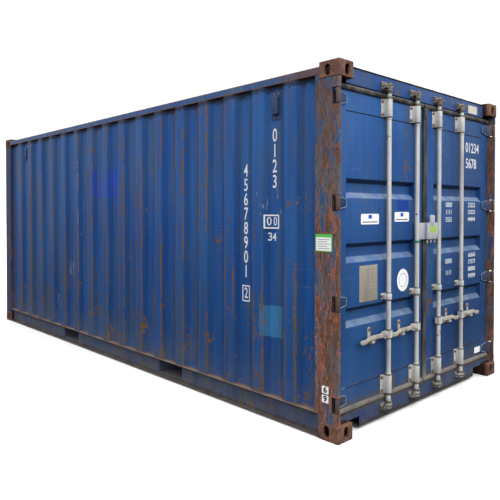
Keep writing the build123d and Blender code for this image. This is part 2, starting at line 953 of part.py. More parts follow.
# Frame and shell
save("bottom_castings", bottom_castings())
save("top_castings", top_castings())
save("door_posts", both_sides(door_post()))
save("end_posts", both_sides(end_post()))
near_pins = hinge_pins()
save("hinge_pins", near_pins + [other_side(shape) for shape in near_pins])
save("bottom_rails", bottom_rails())
save("pocket_bridges", pocket_bridges())
save("top_rails", both_sides(top_rail()))
save("door_header", [door_header()])
save("door_sill", [door_sill()])
save("end_header", [end_header()])
save("end_sill", [end_sill()])
save("side_walls", both_sides(side_wall()))
save("end_wall", [end_wall()])
save("roof", [roof()])
save("floor", [floor()])
save("cross_members", cross_members())
save("fork_pocket_tops", pocket_tops())
save("fork_pocket_sides", pocket_sides())
save("fork_pocket_straps", pocket_straps())
save("side_vents", side_vents())
save("cam_keepers", cam_keepers())

# Left leaf
frame_left = leaf_frame()
panel_left = leaf_panel()
blades_left = hinge_blades()
save("left_leaf_frame", [frame_left])
save("left_leaf_panel", [panel_left])
save("left_leaf_gasket", [leaf_gasket(-leaf_free_edge)])
save("left_hinge_blades", blades_left)
save("left_bar_brackets", bar_brackets(bar_places[:2]))
save("left_handle_catches", [handle_catch(y) for y in bar_places[:2]])
save("left_lock_box", [left_lock_box()])

# Right leaf
save("right_leaf_frame", [other_side(frame_left)])
save("right_leaf_panel", [other_side(panel_left)])
save("right_leaf_gasket", [other_side(leaf_gasket(seam_gasket_end))])
save("right_hinge_blades", [other_side(shape) for shape in blades_left])
save("right_bar_brackets", bar_brackets(bar_places[2:]))
save("right_handle_catches", [handle_catch(y) for y in bar_places[2:]])
save("right_lock_box", [right_lock_box()])

# Lock bars and handles
for number, place in enumerate(bar_places, start=1):
    save("lock_bar_%d" % number, [lock_bar(place)])
    save("handle_%d" % number, [handle(place)])
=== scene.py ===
"""Looks of a weathered twenty-foot shipping container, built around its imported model.

Lengths are in metres, in the model's own frame: the origin is at the middle of the underside,
+X runs to the door end, -Y is the long side that the camera sees and +Z is up.
"""

from __future__ import annotations

import itertools
import json
import logging
import math
from dataclasses import dataclass
from enum import Enum
from functools import cache
from typing import Callable, ClassVar, Iterable, Optional, Sequence, Union

import bmesh
import bpy
from mathutils import Matrix, Vector
from mathutils.bvhtree import BVHTree

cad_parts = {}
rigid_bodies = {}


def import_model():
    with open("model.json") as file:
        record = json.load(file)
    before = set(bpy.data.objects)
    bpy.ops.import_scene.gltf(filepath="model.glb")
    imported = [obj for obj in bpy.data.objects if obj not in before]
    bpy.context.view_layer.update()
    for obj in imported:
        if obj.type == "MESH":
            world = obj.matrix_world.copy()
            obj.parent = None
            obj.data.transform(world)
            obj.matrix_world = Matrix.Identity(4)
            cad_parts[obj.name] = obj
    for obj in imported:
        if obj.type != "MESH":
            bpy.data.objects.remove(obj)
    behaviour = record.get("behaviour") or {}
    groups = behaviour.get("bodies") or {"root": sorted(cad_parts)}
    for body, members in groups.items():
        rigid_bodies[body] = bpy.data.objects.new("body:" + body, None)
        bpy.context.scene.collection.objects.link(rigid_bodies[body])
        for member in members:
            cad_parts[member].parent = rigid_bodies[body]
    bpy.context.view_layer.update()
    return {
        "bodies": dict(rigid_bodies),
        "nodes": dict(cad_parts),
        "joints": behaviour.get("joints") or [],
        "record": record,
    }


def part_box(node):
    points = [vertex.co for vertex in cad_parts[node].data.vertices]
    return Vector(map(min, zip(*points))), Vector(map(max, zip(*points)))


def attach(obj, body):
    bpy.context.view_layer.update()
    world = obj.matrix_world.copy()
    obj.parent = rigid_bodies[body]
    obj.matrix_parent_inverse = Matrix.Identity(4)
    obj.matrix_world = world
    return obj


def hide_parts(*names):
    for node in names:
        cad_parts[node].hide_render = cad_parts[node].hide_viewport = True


LOG = logging.getLogger("container")

Colour = tuple[float, float, float]
Pair = tuple[float, float]
Point = tuple[float, float, float]
Thing = bpy.types.Object
Value = Union["Wire", float, Sequence[float]]

FRAME_BODY = "frame"
SMOOTH_BELOW, FLAT_BELOW = math.radians(38.0), math.radians(1.0)
SHARP_FORM, SHARP_NODE = math.radians(30.0), math.radians(35.0)
SAME_POINT = 2e-5
BARS = (-0.575, -0.175, 0.175, 0.575)
CAM_HEIGHTS = (0.105, 2.500)


def srgb(*screen: int) -> Colour:
    """The linear colour of screen values from 0 to 255."""
    shares = [value / 255.0 for value in screen]
    return tuple(s / 12.92 if s <= 0.04045 else ((s + 0.055) / 1.055) ** 2.4 for s in shares)


DARK_RUST, MID_RUST, PALE_RUST = srgb(78, 57, 32), srgb(116, 87, 44), srgb(170, 122, 60)
RUST_EDGE, RUN_STAIN = srgb(132, 92, 66), srgb(92, 74, 46)
SOOT, DRIED_DIRT, BARE_GREY = srgb(46, 52, 64), srgb(72, 86, 92), srgb(150, 160, 176)
# Painted shade: for faces that look down, for corrugation slopes and for the bottom of a piece.
UNDERSIDE_SHADE, SLOPE_SHADE, UNLIT = srgb(14, 20, 32), (0.004, 0.012, 0.035), (0.0, 0.0, 0.0)
CRUST, HOLLOW_SHADE, OLD_PAINT = srgb(52, 42, 42), srgb(24, 18, 16), srgb(45, 62, 92)
# A darker colour for bands on zinc, and painted shade for zinc faces that look down.
DARK_BAND, DOWNWARD_ZINC_SHADE = srgb(78, 70, 62), srgb(58, 52, 48)
FLAKE_EDGE, POST_RUN, DECK_STAIN = srgb(150, 84, 44), srgb(152, 88, 46), srgb(66, 52, 40)
KNUCKLE_RUST = srgb(96, 72, 60)


class Side(Enum):
    """The two long sides, which are also the two door leaves."""

    LEFT = -1
    RIGHT = 1

    @property
    def word(self) -> str:
        """The side's name as the nodes use it."""
        return self.name.lower()

    @property
    def body(self) -> str:
        """The door leaf's body on this side."""
        return f"{self.word}_leaf"


class Facing(Enum):
    """Which way the heads on a face look, as turns about X, Y and Z."""

    UP = (0.0, 0.0, 0.0)
    DOWN = (math.pi, 0.0, 0.0)
    DOORS = (0.0, math.pi / 2, 0.0)
    LEFT = (math.pi / 2, 0.0, 0.0)
    RIGHT = (-math.pi / 2, 0.0, 0.0)


def reckoned(operation: str, swapped: bool = False) -> Callable[..., Wire]:
    """A method of wires that takes one arithmetic step.

    Args:
        operation: The step.
        swapped: Whether the other value comes first.

    Returns:
        The method.
    """

    def method(wire: Wire, other: Value = 0.0) -> Wire:
        """The step's result."""
        feeds = {0: other, 1: wire} if swapped else {0: wire, 1: other}
        return wire.graph.take("ShaderNodeMath", feeds, operation=operation)

    return method


class Wire:
    """A value in a node tree, to reckon with as with a number."""

    __add__ = __radd__ = reckoned("ADD")
    __mul__ = __rmul__ = reckoned("MULTIPLY")
    __sub__, __rsub__ = reckoned("SUBTRACT"), reckoned("SUBTRACT", True)
    __truediv__, __abs__ = reckoned("DIVIDE"), reckoned("ABSOLUTE")
    most, least, past_whole = reckoned("MAXIMUM"), reckoned("MINIMUM"), reckoned("FRACT")

    def __init__(self, graph: Graph, socket: bpy.types.NodeSocket) -> None:
        """Takes the socket that gives the value, and its graph."""
        self.graph, self.socket = graph, socket

    def held(self) -> Wire:
        """The value, held between 0 and 1."""
        return self.graph.take("ShaderNodeClamp", {0: self})

    def step(self, low: Value, high: Value) -> Wire:
        """A soft step from 0 at low to 1 at high."""
        feeds = {"Value": self, "From Min": low, "From Max": high}
        return self.graph.take("ShaderNodeMapRange", feeds, interpolation_type="SMOOTHSTEP")

    def times(self, factors: Value) -> Wire:
        """A vector with each part times its own factor."""
        feeds = {0: self, 1: factors}
        return self.graph.take("ShaderNodeVectorMath", feeds, operation="MULTIPLY")

    def drawn(self, share: float) -> Wire:
        """A place squeezed in height, so that patterns are drawn out upright."""
        return self.times((1.0, 1.0, share))

    def moved(self, seed: Value) -> Wire:
        """A place moved by a seed, so that patterns differ from piece to piece."""
        feeds = {0: self, 1: self.graph.combine(seed, seed, seed)}
        return self.graph.take("ShaderNodeVectorMath", feeds, operation="ADD")

    def axis(self, letter: str) -> Wire:
        """One part of a vector."""
        return self.graph.take("ShaderNodeSeparateXYZ", {0: self}, "XYZ".index(letter))

    def noise(self, scale: Value, detail: float, roughness: float) -> Wire:
        """Soft noise from 0 to 1, read at this place.

        Args:
            scale: Waves in a metre.
            detail: Octaves.
            roughness: Weight of the finer octaves.

        Returns:
            The noise value.
        """
        feeds = {"Vector": self, "Scale": scale, "Detail": detail, "Roughness": roughness}
        return self.graph.take("ShaderNodeTexNoise", feeds, "Fac")


class Graph:
    """A node tree while it is being wired, for a finish, a shared effect or a tool."""

    def __init__(self, tree: bpy.types.NodeTree) -> None:
        """Takes the tree to fill."""
        self.tree = tree

    def feed(self, socket: bpy.types.NodeSocket, value: object) -> None:
        """Links a socket, or sets its constant.

        Args:
            socket: The input.
            value: A wire, a list of wires or a constant.
        """
        if isinstance(value, (Wire, list)):
            for source in value if isinstance(value, list) else [value]:
                self.tree.links.new(source.socket, socket)
        else:
            socket.default_value = (*value, 1.0) if socket.type == "RGBA" and len(value) == 3 else value

    def add(self, kind: str, feeds: Optional[dict] = None, **settings: object) -> bpy.types.Node:
        """Adds one node.

        Args:
            kind: The node's type name.
            feeds: What its inputs take, by name or number.
            **settings: Its own properties.

        Returns:
            The new node.
        """
        node = self.tree.nodes.new(kind)
        for key, value in settings.items():
            setattr(node, key, value)
        for key, value in (feeds or {}).items():
            self.feed(node.inputs[key], value)
        return node

    def take(
        self, kind: str, feeds: Optional[dict] = None, pick: Union[int, str] = 0, **settings: object
    ) -> Wire:
        """One output of a new node, which is made as add makes it."""
        return Wire(self, self.add(kind, feeds, **settings).outputs[pick])

    def __getitem__(self, name: str) -> Wire:
        """What the tree is given under a name."""
        return self.take("NodeGroupInput", None, name)

    def combine(self, x: Value, y: Value, z: Value) -> Wire:
        """A vector of three values."""
        return self.take("ShaderNodeCombineXYZ", {0: x, 1: y, 2: z})

    def here(self) -> Wire:
        """The place on the piece, in metres of the model's frame."""
        return self.take("ShaderNodeTexCoord", None, "Object")

    def below(self, letter: str, start: Value, stop: Value) -> Wire:
        """1 before start on an axis, falling to 0 at stop."""
        return 1.0 - self.here().axis(letter).step(start, stop)

    def facing(self, way: float, low: float, high: float) -> Wire:
        """How far the surface faces up, or down where way is -1."""
        normal = self.take("ShaderNodeNewGeometry", None, "Normal")
        return (normal.axis("Z") * way).step(low, high)

    def mix(self, share: Value, first: Value, second: Value) -> Wire:
        """A share of the second colour over the first."""
        return self.take("ShaderNodeMix", {"Factor": share, 6: first, 7: second}, 2, data_type="RGBA")

    def effect(self, kind: type[Effect], **values: Value) -> dict[str, Wire]:
        """Places a shared effect.

        Args:
            kind: The effect.
            **values: Its inputs by name, with spaces as underscores.

        Returns:
            Its outputs, by name.
        """
        feeds = {key.replace("_", " ").capitalize(): value for key, value in values.items()}
        node = self.add("ShaderNodeGroup", feeds, node_tree=kind.tree())
        return {socket.name: Wire(self, socket) for socket in node.outputs}

    def mask(self, kind: type[Effect], **values: Value) -> Wire:
        """The mask of a shared effect, placed as effect places it."""
        return self.effect(kind, **values)["Mask"]


class Effect:
    """A shader node group that finishes share, built on first use."""

    inputs: ClassVar[dict[str, object]] = {}
    outputs: ClassVar[tuple[str, ...]] = ("Mask",)

    @classmethod
    @cache
    def tree(cls) -> bpy.types.NodeTree:
        """The group, made with its sockets on first use.

        Returns:
            The node group.
        """
        tree = bpy.data.node_groups.new(cls.__name__, "ShaderNodeTree")
        for label, default in cls.inputs.items():
            tinted = isinstance(default, tuple)
            kind = "NodeSocketColor" if tinted else "NodeSocketFloat"
            socket = tree.interface.new_socket(label, in_out="INPUT", socket_type=kind)
            socket.default_value = (*default, 1.0) if tinted else default
        for label in cls.outputs:
            kind = "NodeSocketColor" if label == "Colour" else "NodeSocketFloat"
            tree.interface.new_socket(label, in_out="OUTPUT", socket_type=kind)
        graph = Graph(tree)
        graph.add("NodeGroupOutput", dict(zip(cls.outputs, cls.wire(graph))))
        return tree

    @classmethod
    def wire(cls, graph: Graph) -> Sequence[Wire]:
        """Wires the group; each effect has its own way.

        Args:
            graph: Its graph.

        Returns:
            Its outputs, in order.
        """
        raise NotImplementedError


class RunMarks(Effect):
    """Marks that run down a surface."""

    inputs = {"Fineness": 20.0, "Stretch": 0.05, "Seed": 0.0, "Level": 0.5, "Soft": 0.12}

    @classmethod
    def wire(cls, graph: Graph) -> Sequence[Wire]:
        """Noise drawn out downwards and cut at a level.

        Args:
            graph: Its graph.

        Returns:
            The mask.
        """
        fine, level, soft = graph["Fineness"], graph["Level"], graph["Soft"]
        scale = graph.combine(fine, fine, fine * graph["Stretch"])
        place = graph.here().times(scale).moved(graph["Seed"])
        value = place.noise(1.0, 4.0, 0.6)
        return [value.step(level - soft, level + soft)]


class RustBloom(Effect):
    """Rust breaking through in clustered spots."""

    inputs = {"Scale": 12.0, "Cover": 0.4, "Seed": 0.0, "Stretch": 1.0}
    outputs = ("Mask", "Colour", "Height")

    @classmethod
    def wire(cls, graph: Graph) -> Sequence[Wire]:
        """Spots where fine and broad noise are both high.

        Args:
            graph: Its graph.

        Returns:
            Mask, colour and height of the rust.
        """
        scale = graph["Scale"]
        squeezed = graph.here().times(graph.combine(1.0, 1.0, graph["Stretch"]))
        place = squeezed.moved(graph["Seed"])
        spots = place.noise(scale, 6.0, 0.65)
        clusters = place.noise(scale * 0.13, 2.0, 0.5)
        both = spots * 0.55 + clusters * 0.45
        edge = 0.78 - graph["Cover"] * 0.5
        mask = both.step(edge, edge + 0.035)
        grain = place.noise(scale * 5.0, 5.0, 0.7)
        ramp = graph.add("ShaderNodeValToRGB", {0: grain})
        bands = ramp.color_ramp.elements
        for band, start, colour in ((bands[0], 0.3, DARK_RUST), (bands[1], 0.72, PALE_RUST)):
            band.position, band.color = start, (*colour, 1.0)
        bands.new(0.52).color = (*MID_RUST, 1.0)
        return [mask, Wire(graph, ramp.outputs[0]), grain * mask]


class SettledDust(Effect):
    """Dust on what faces up, and splashes near the ground."""

    inputs = {"Upward": 0.8, "Splash": 0.5, "Splash top": 0.5, "Seed": 0.0}

    @classmethod
    def wire(cls, graph: Graph) -> Sequence[Wire]:
        """The greater of dust and splashes, broken up by noise.

        Args:
            graph: Its graph.

        Returns:
            The mask.
        """
        patchy = graph.here().moved(graph["Seed"]).noise(9.0, 6.0, 0.6).step(0.3, 0.66)
        upward = graph.facing(1.0, 0.15, 0.8) * graph["Upward"]
        splash = graph.below("Z", 0.0, graph["Splash top"]) * graph["Splash"]
        share = patchy * 0.6 + 0.4
        return [(upward.most(splash) * share).held()]


class SunFade(Effect):
    """Paint colour between deep and faded."""

    inputs = {
        "Deep": srgb(25, 55, 110), "Faded": srgb(70, 98, 150), "Amount": 0.5, "Runs": 0.45, "Seed": 0.0,
    }
    outputs = ("Colour",)

    @classmethod
    def wire(cls, graph: Graph) -> Sequence[Wire]:
        """Broad patches and fine upright runs.

        Args:
            graph: Its graph.

        Returns:
            The colour.
        """
        place = graph.here().moved(graph["Seed"])
        broad = place.drawn(0.5).noise(1.3, 4.0, 0.55)
        runs = place.drawn(0.03).noise(34.0, 3.0, 0.6)
        both = broad * (1.0 - graph["Runs"]) + runs * graph["Runs"]
        centre = 0.75 - graph["Amount"] * 0.5
        share = both.step(centre - 0.22, centre + 0.22)
        return [graph.mix(share, graph["Deep"], graph["Faded"])]


class Scuffs(Effect):
    """Thin slanting scratches in a few places."""

    inputs = {"Seed": 0.0}

    @classmethod
    def wire(cls, graph: Graph) -> Sequence[Wire]:
        """Fine tilted lines, kept only in some zones.

        Args:
            graph: Its graph.

        Returns:
            The mask.
        """
        place = graph.here().moved(graph["Seed"])
        tilt = {"Vector": place, "Rotation": (0.5, 0.6, 0.0), "Scale": (4.0, 4.0, 70.0)}
        lines = graph.take("ShaderNodeMapping", tilt).noise(1.0, 3.0, 0.6).step(0.63, 0.67)
        return [lines * place.noise(1.6, 3.0, 0.5).step(0.54, 0.66)]


class EdgeStrip(Effect):
    """A ragged strip along a line."""

    inputs = {"Along": 0.0, "Place": 0.0, "Reach": 0.02, "Seed": 0.0}

    @classmethod
    def wire(cls, graph: Graph) -> Sequence[Wire]:
        """Measures the way to the line and wanders with noise.

        Args:
            graph: Its graph.

        Returns:
            The mask.
        """
        ragged = graph.here().moved(graph["Seed"]).noise(24.0, 6.0, 0.65)
        share = abs(graph["Along"] - graph["Place"]) / graph["Reach"] + (ragged - 0.5) * 2.6
        return [1.0 - share.step(0.55, 0.95)]


class OtherPaint(Effect):
    """A worn rectangle of other paint on the long side that the camera sees."""

    inputs = {"Low x": 0.0, "High x": 1.0, "Low z": 0.0, "High z": 1.0, "Ragged": 0.02, "Broken": 0.3}

    @classmethod
    def wire(cls, graph: Graph) -> Sequence[Wire]:
        """What lies inside the rectangle, less where it has worn off.

        Args:
            graph: Its graph.

        Returns:
            The mask.
        """
        place = graph.here()
        across, up = place.axis("X"), place.axis("Z")
        inside = (across - graph["Low x"]).least(graph["High x"] - across)
        inside = inside.least(up - graph["Low z"]).least(graph["High z"] - up)
        wander = place.noise(14.0, 5.0, 0.6) - 0.5
        mask = (inside + wander * graph["Ragged"]).step(0.0, 0.004)
        worn = place.drawn(0.3).noise(30.0, 5.0, 0.65)
        mask = mask * worn.step(graph["Broken"], graph["Broken"] + 0.06)
        return [mask * (place.axis("Y") * -1.0).step(0.0, 0.1)]


@dataclass
class Surface:
    """What a finish gives the shader."""

    colour: Value
    roughness: Value
    relief: Wire
    depth: float
    strength: float
    metallic: Value = 0.0


class Finish:
    """Base of every finish: keeps its material so that it is made once."""

    SPECULAR: ClassVar[float] = 0.16
    name: str

    @cache
    def material(self) -> bpy.types.Material:
        """The finish as a material, made on first use.

        Returns:
            The material.
        """
        made = bpy.data.materials.new(self.name)
        made.use_nodes = True
        made.node_tree.nodes.clear()
        graph = Graph(made.node_tree)
        look = self.wire(graph)
        bump = {"Strength": look.strength, "Distance": look.depth, "Height": look.relief}
        feeds = {
            "Base Color": look.colour, "Roughness": look.roughness, "Metallic": look.metallic,
            "Normal": graph.take("ShaderNodeBump", bump), "Specular IOR Level": self.SPECULAR,
        }
        shader = graph.take("ShaderNodeBsdfPrincipled", feeds)
        graph.add("ShaderNodeOutputMaterial", {"Surface": shader})
        return made

    def wire(self, graph: Graph) -> Surface:
        """Makes the finish's patterns; each finish has its own way.

        Args:
            graph: Its graph.

        Returns:
            What the shader takes.
        """
        raise NotImplementedError


@dataclass(frozen=True)
class Folds:
    """Where a corrugated sheet's crests lie along X, for wear along their edges and for painted light and
    shade on crests and slopes.
    """

    first: float
    pitch: float
    half_crest: float
    edge: float = 0.015


WALL_FOLDS = Folds(-2.5246, 0.340, 0.052)


@dataclass(frozen=True)
class Strip:
    """A ragged strip of another colour along an edge of a piece."""

    axis: str
    place: float
    reach: float
    colour: Colour
    strength: float = 0.85


@dataclass(frozen=True)
class Repaint:
    """A worn rectangle of other paint on the long side that the camera sees."""

    across: Pair
    up: Pair
    colour: Colour
    strength: float
    ragged: float
    broken: float


@dataclass(frozen=True)
class WornPaint(Finish):
    """Sheet-steel paint: faded in runs, rusting through and dusty, with painted light and shade."""

    name: str
    deep: Colour
    faded: Colour
    fade: float = 0.5
    rust_scale: float = 30.0
    rust_cover: float = 0.32
    run_level: float = 0.66
    dust: Colour = srgb(150, 142, 132)
    upward_dust: float = 0.4
    splash: float = 0.2
    splash_top: float = 0.55
    roughness: float = 0.48
    seed: float = 0.0
    grime: float = 0.38
    low_shade: float = 0.72
    upright_runs: float = 0.45
    # Share of painted shade on faces that look down.
    sheltered: float = 0.5
    scratches: float = 0.15
    wash: float = 0.0
    low_rust: float = 0.0
    low_rust_top: float = 0.6
    folds: Optional[Folds] = None
    strips: tuple[Strip, ...] = ()
    repaints: tuple[Repaint, ...] = ()

    def wire(self, graph: Graph) -> Surface:
        """Layers fade, repainted places, grime runs, rust, dust that on the doors is also a painted
        highlight, and painted shade under things and towards the bottom.

        Args:
            graph: Its graph.

        Returns:
            What the shader takes.
        """
        colour = self._soiled(graph, self._repainted(graph))
        cover: Value = self.rust_cover
        if self.low_rust:
            cover = graph.below("Z", 0.1, self.low_rust_top) * self.low_rust + cover
        spots = {"scale": self.rust_scale, "cover": cover, "seed": self.seed + 7.7, "stretch": 0.6}
        bloom = graph.effect(RustBloom, **spots)
        rust = bloom["Mask"]
        runs = {"fineness": 30.0, "stretch": 0.045, "seed": self.seed + 11.0, "soft": 0.03}
        stain = graph.mask(RunMarks, level=self.run_level, **runs) * 0.7
        if self.folds is not None:
            colour, rust, stain = self._folded(graph, colour, rust, stain)
        colour = graph.mix(stain, colour, RUN_STAIN)
        colour = graph.mix(rust, colour, bloom["Colour"])
        for number, strip in enumerate(self.strips):
            along = graph.here().axis(strip.axis)
            place = {"place": strip.place, "reach": strip.reach, "seed": self.seed + number}
            share = graph.mask(EdgeStrip, along=along, **place) * strip.strength
            colour = graph.mix(share, colour, strip.colour)
        splash = {"splash": self.splash, "splash_top": self.splash_top, "seed": self.seed}
        # Dust on faces that look up; on the doors it is also a painted highlight.
        dust = graph.mask(SettledDust, upward=self.upward_dust, **splash)
        colour = graph.mix(dust, colour, self.dust)
        # Painted shade: faces that look down are darkened.
        colour = graph.mix(graph.facing(-1.0, 0.15, 0.7) * self.sheltered, colour, UNDERSIDE_SHADE)
        colour = graph.mix(graph.below("Z", 0.0, 2.3) * (1.0 - self.low_shade), colour, UNLIT)
        worn = rust.most(stain).most(dust)
        rough = (worn * (0.9 - self.roughness) + self.roughness).held()
        peel = graph.here().noise(160.0, 2.0, 0.5) * 0.25
        relief = peel - rust * 0.6 + bloom["Height"]
        return Surface(colour, rough, relief, depth=0.0012, strength=0.7)

    def _repainted(self, graph: Graph) -> Wire:
        """The faded paint with the rectangles of other paint over it.

        Args:
            graph: Its graph.

        Returns:
            The colour.
        """
        fade = {"amount": self.fade, "runs": self.upright_runs, "seed": self.seed}
        colour = graph.effect(SunFade, deep=self.deep, faded=self.faded, **fade)["Colour"]
        for patch in self.repaints:
            names = ("low_x", "high_x", "low_z", "high_z", "ragged", "broken")
            values = dict(zip(names, (*patch.across, *patch.up, patch.ragged, patch.broken)))
            share = graph.mask(OtherPaint, **values) * patch.strength
            colour = graph.mix(share, colour, patch.colour)
        return colour

    def _soiled(self, graph: Graph, colour: Wire) -> Wire:
        """A colour with scuffs, fine grime and broad dirty runs over it.

        Args:
            graph: Its graph.
            colour: Paint colour so far.

        Returns:
            The soiled colour.
        """
        seed = self.seed
        colour = graph.mix(graph.mask(Scuffs, seed=seed) * self.scratches, colour, BARE_GREY)
        fine = graph.mask(RunMarks, fineness=26.0, stretch=0.03, seed=seed + 3.1, level=0.6, soft=0.14)
        colour = graph.mix(fine * self.grime, colour, SOOT)
        broad = graph.mask(RunMarks, fineness=7.0, stretch=0.16, seed=seed + 5.3, level=0.56, soft=0.1)
        share = broad * self.grime
        if self.wash:
            zone = graph.below("X", -3.2, 2.4) + graph.below("Z", 0.2, 1.6)
            patch = graph.here().drawn(0.4).noise(5.0, 6.0, 0.65).step(0.44, 0.6)
            share = (share + zone * self.wash * patch).held()
        return graph.mix(share, colour, DRIED_DIRT)

    def _folded(self, graph: Graph, colour: Wire, rust: Wire, stain: Wire) -> tuple[Wire, ...]:
        """Lightens the crests as painted light, darkens the slopes as painted shade and rusts the crest
        edges.

        Args:
            graph: Its graph.
            colour: Paint colour so far.
            rust: Rust mask so far.
            stain: Rust run mask so far.

        Returns:
            Colour, rust mask and run mask with the folds worked in.
        """
        place, folds = graph.here(), self.folds
        across = place.axis("X")
        waves = (across - folds.first) / folds.pitch + 0.5
        past = abs(waves.past_whole() - 0.5) * folds.pitch - folds.half_crest
        crest = 1.0 - past.step(-0.004, 0.008)
        slope = past.step(0.006, 0.02) * (1.0 - past.step(0.05, 0.075))
        edge = 1.0 - (abs(past) / folds.edge).step(0.0, 1.0)
        # Painted light on the crests, then painted shade on the slopes.
        colour = graph.mix(crest * 0.14, colour, self.faded)
        colour = graph.mix(slope * 0.3, colour, SLOPE_SHADE)
        broken = graph.mask(
            RunMarks, fineness=90.0, stretch=0.11, seed=self.seed + 17.0, level=0.47, soft=0.02
        )
        spread = place.drawn(0.55).noise(2.1, 3.0, 0.5)
        clean = place.axis("Z").step(0.6, 2.5) * 0.12 + across.step(0.6, 2.2) * 0.09
        where = (spread - clean).step(0.33, 0.46)
        rust = rust.most((edge * broken * where * 2.2).held())
        return colour, rust, stain * (crest * 0.8 + 0.2)


@dataclass(frozen=True)
class PeeledPaint(Finish):
    """Post paint that has flaked off in upright patches, with orange rims, down to brown rust."""

    name: str
    paint: Colour
    rim: Colour
    rust: Colour
    grey: Colour
    kept: float
    seed: float = 0.0

    def wire(self, graph: Graph) -> Surface:
        """Layers rust, the rims of the flakes and the paint that is left.

        Args:
            graph: Its graph.

        Returns:
            What the shader takes.
        """
        place = graph.here().moved(self.seed)
        upright = place.drawn(0.22)
        mottle = upright.noise(30.0, 6.0, 0.68)
        brown = graph.mix(mottle.step(0.44, 0.56), self.rust, self.grey)
        front = graph.here().axis("X").step(2.86, 3.02)
        lower = graph.below("Z", 0.2, 2.6)
        flakes = upright.noise(17.0, 9.0, 0.7) + (front + lower) * 0.05
        kept = 1.0 - flakes.step(self.kept, self.kept + 0.012)
        rim = (1.0 - flakes.step(self.kept + 0.028, self.kept + 0.045)) * (1.0 - kept)
        likely = (0.35 + front.most(lower) * 0.6) * (0.45 + graph.below("Z", 1.2, 2.3) * 0.55)
        tone = graph.mix(place.noise(90.0, 4.0, 0.7).step(0.4, 0.62), self.rim, FLAKE_EDGE)
        colour = graph.mix(rim * likely, brown, tone)
        colour = graph.mix(kept, colour, graph.mix(mottle.step(0.42, 0.6), self.paint, self.grey))
        runs = graph.mask(RunMarks, fineness=95.0, stretch=0.06, seed=self.seed + 9.0, level=0.6, soft=0.03)
        colour = graph.mix(runs * (likely * 0.6), colour, POST_RUN)
        flecks = upright.noise(80.0, 5.0, 0.7).step(0.55, 0.62)
        colour = graph.mix(flecks * 0.7, colour, CRUST)
        relief = mottle * 0.5 + kept * 0.8 + rim * 0.4
        return Surface(colour, 0.88 - kept * 0.3, relief, depth=0.0018, strength=0.9)


@dataclass(frozen=True)
class RustedCasting(Finish):
    """Bare cast steel under an even brown rust."""

    name: str
    dark: Colour
    mid: Colour
    light: Colour
    hollows: tuple[tuple[str, float, float], ...] = ()

    def wire(self, graph: Graph) -> Surface:
        """Mottled rust with pits, a little old paint and painted shade inside the hollows.

        Args:
            graph: Its graph.

        Returns:
            What the shader takes.
        """
        place = graph.here()
        broad = place.noise(9.0, 5.0, 0.6)
        grain = place.noise(85.0, 5.0, 0.7)
        colour = graph.mix(broad.step(0.35, 0.66), self.dark, self.mid)
        colour = graph.mix(grain.step(0.52, 0.7) * 0.75, colour, self.light)
        runs = graph.mask(RunMarks, fineness=36.0, stretch=0.15, seed=4.0, level=0.7, soft=0.05)
        colour = graph.mix(runs * 0.7, colour, OLD_PAINT)
        # Painted shade: the inside of the castings is darkened towards near black.
        if self.hollows:
            sunk: Value = 0.85
            for letter, inner, outer in self.hollows:
                sunk = (1.0 - abs(place.axis(letter)).step(inner, outer)) * sunk
            colour = graph.mix(sunk, colour, HOLLOW_SHADE)
        relief = grain * 0.7 + broad * 0.6
        return Surface(colour, 0.72 + grain * 0.22, relief, depth=0.003, strength=0.8)


@dataclass(frozen=True)
class DullZinc(Finish):
    """Galvanized steel gone dull, with pale runs, rust spots, darker bands at given heights and painted
    shade on faces that look down.
    """

    name: str
    pale: Colour
    dark: Colour
    rust_cover: float = 0.3
    metal: float = 0.25
    roughness: float = 0.5
    seed: float = 0.0
    dirty_heights: tuple[Pair, ...] = ()

    def wire(self, graph: Graph) -> Surface:
        """Spangle, runs, rust spots, darker bands at the given heights and painted shade underneath.

        Args:
            graph: Its graph.

        Returns:
            What the shader takes.
        """
        place = graph.here()
        cells = graph.take("ShaderNodeTexVoronoi", {"Vector": place, "Scale": 130.0}, "Color")
        runs = graph.mask(RunMarks, fineness=48.0, stretch=0.05, seed=self.seed, level=0.52, soft=0.2)
        worn = place.drawn(0.4).noise(7.0, 5.0, 0.6).step(0.45, 0.7)
        share = (runs * 0.45 + cells.axis("X") * 0.2 + worn * 0.35).held()
        bloom = graph.effect(RustBloom, scale=34.0, cover=self.rust_cover, seed=self.seed + 2.0, stretch=0.7)
        rust = bloom["Mask"]
        colour = graph.mix(share, self.pale, self.dark)
        colour = graph.mix(rust * 0.85, colour, bloom["Colour"])
        # Darker bands at the given heights, where these parts meet others.
        for height, reach in self.dirty_heights:
            band = {"along": place.axis("Z"), "place": height, "reach": reach, "seed": self.seed}
            colour = graph.mix(graph.mask(EdgeStrip, **band) * 0.8, colour, DARK_BAND)
        # Painted shade: faces that look down are darkened.
        colour = graph.mix(graph.facing(-1.0, 0.1, 0.6) * 0.75, colour, DOWNWARD_ZINC_SHADE)
        rough = self.roughness + share.most(rust) * 0.3
        relief = place.noise(220.0, 3.0, 0.6) * 0.3 + bloom["Height"]
        bright = self.metal - rust * self.metal
        return Surface(colour, rough, relief, depth=0.0008, strength=0.6, metallic=bright)


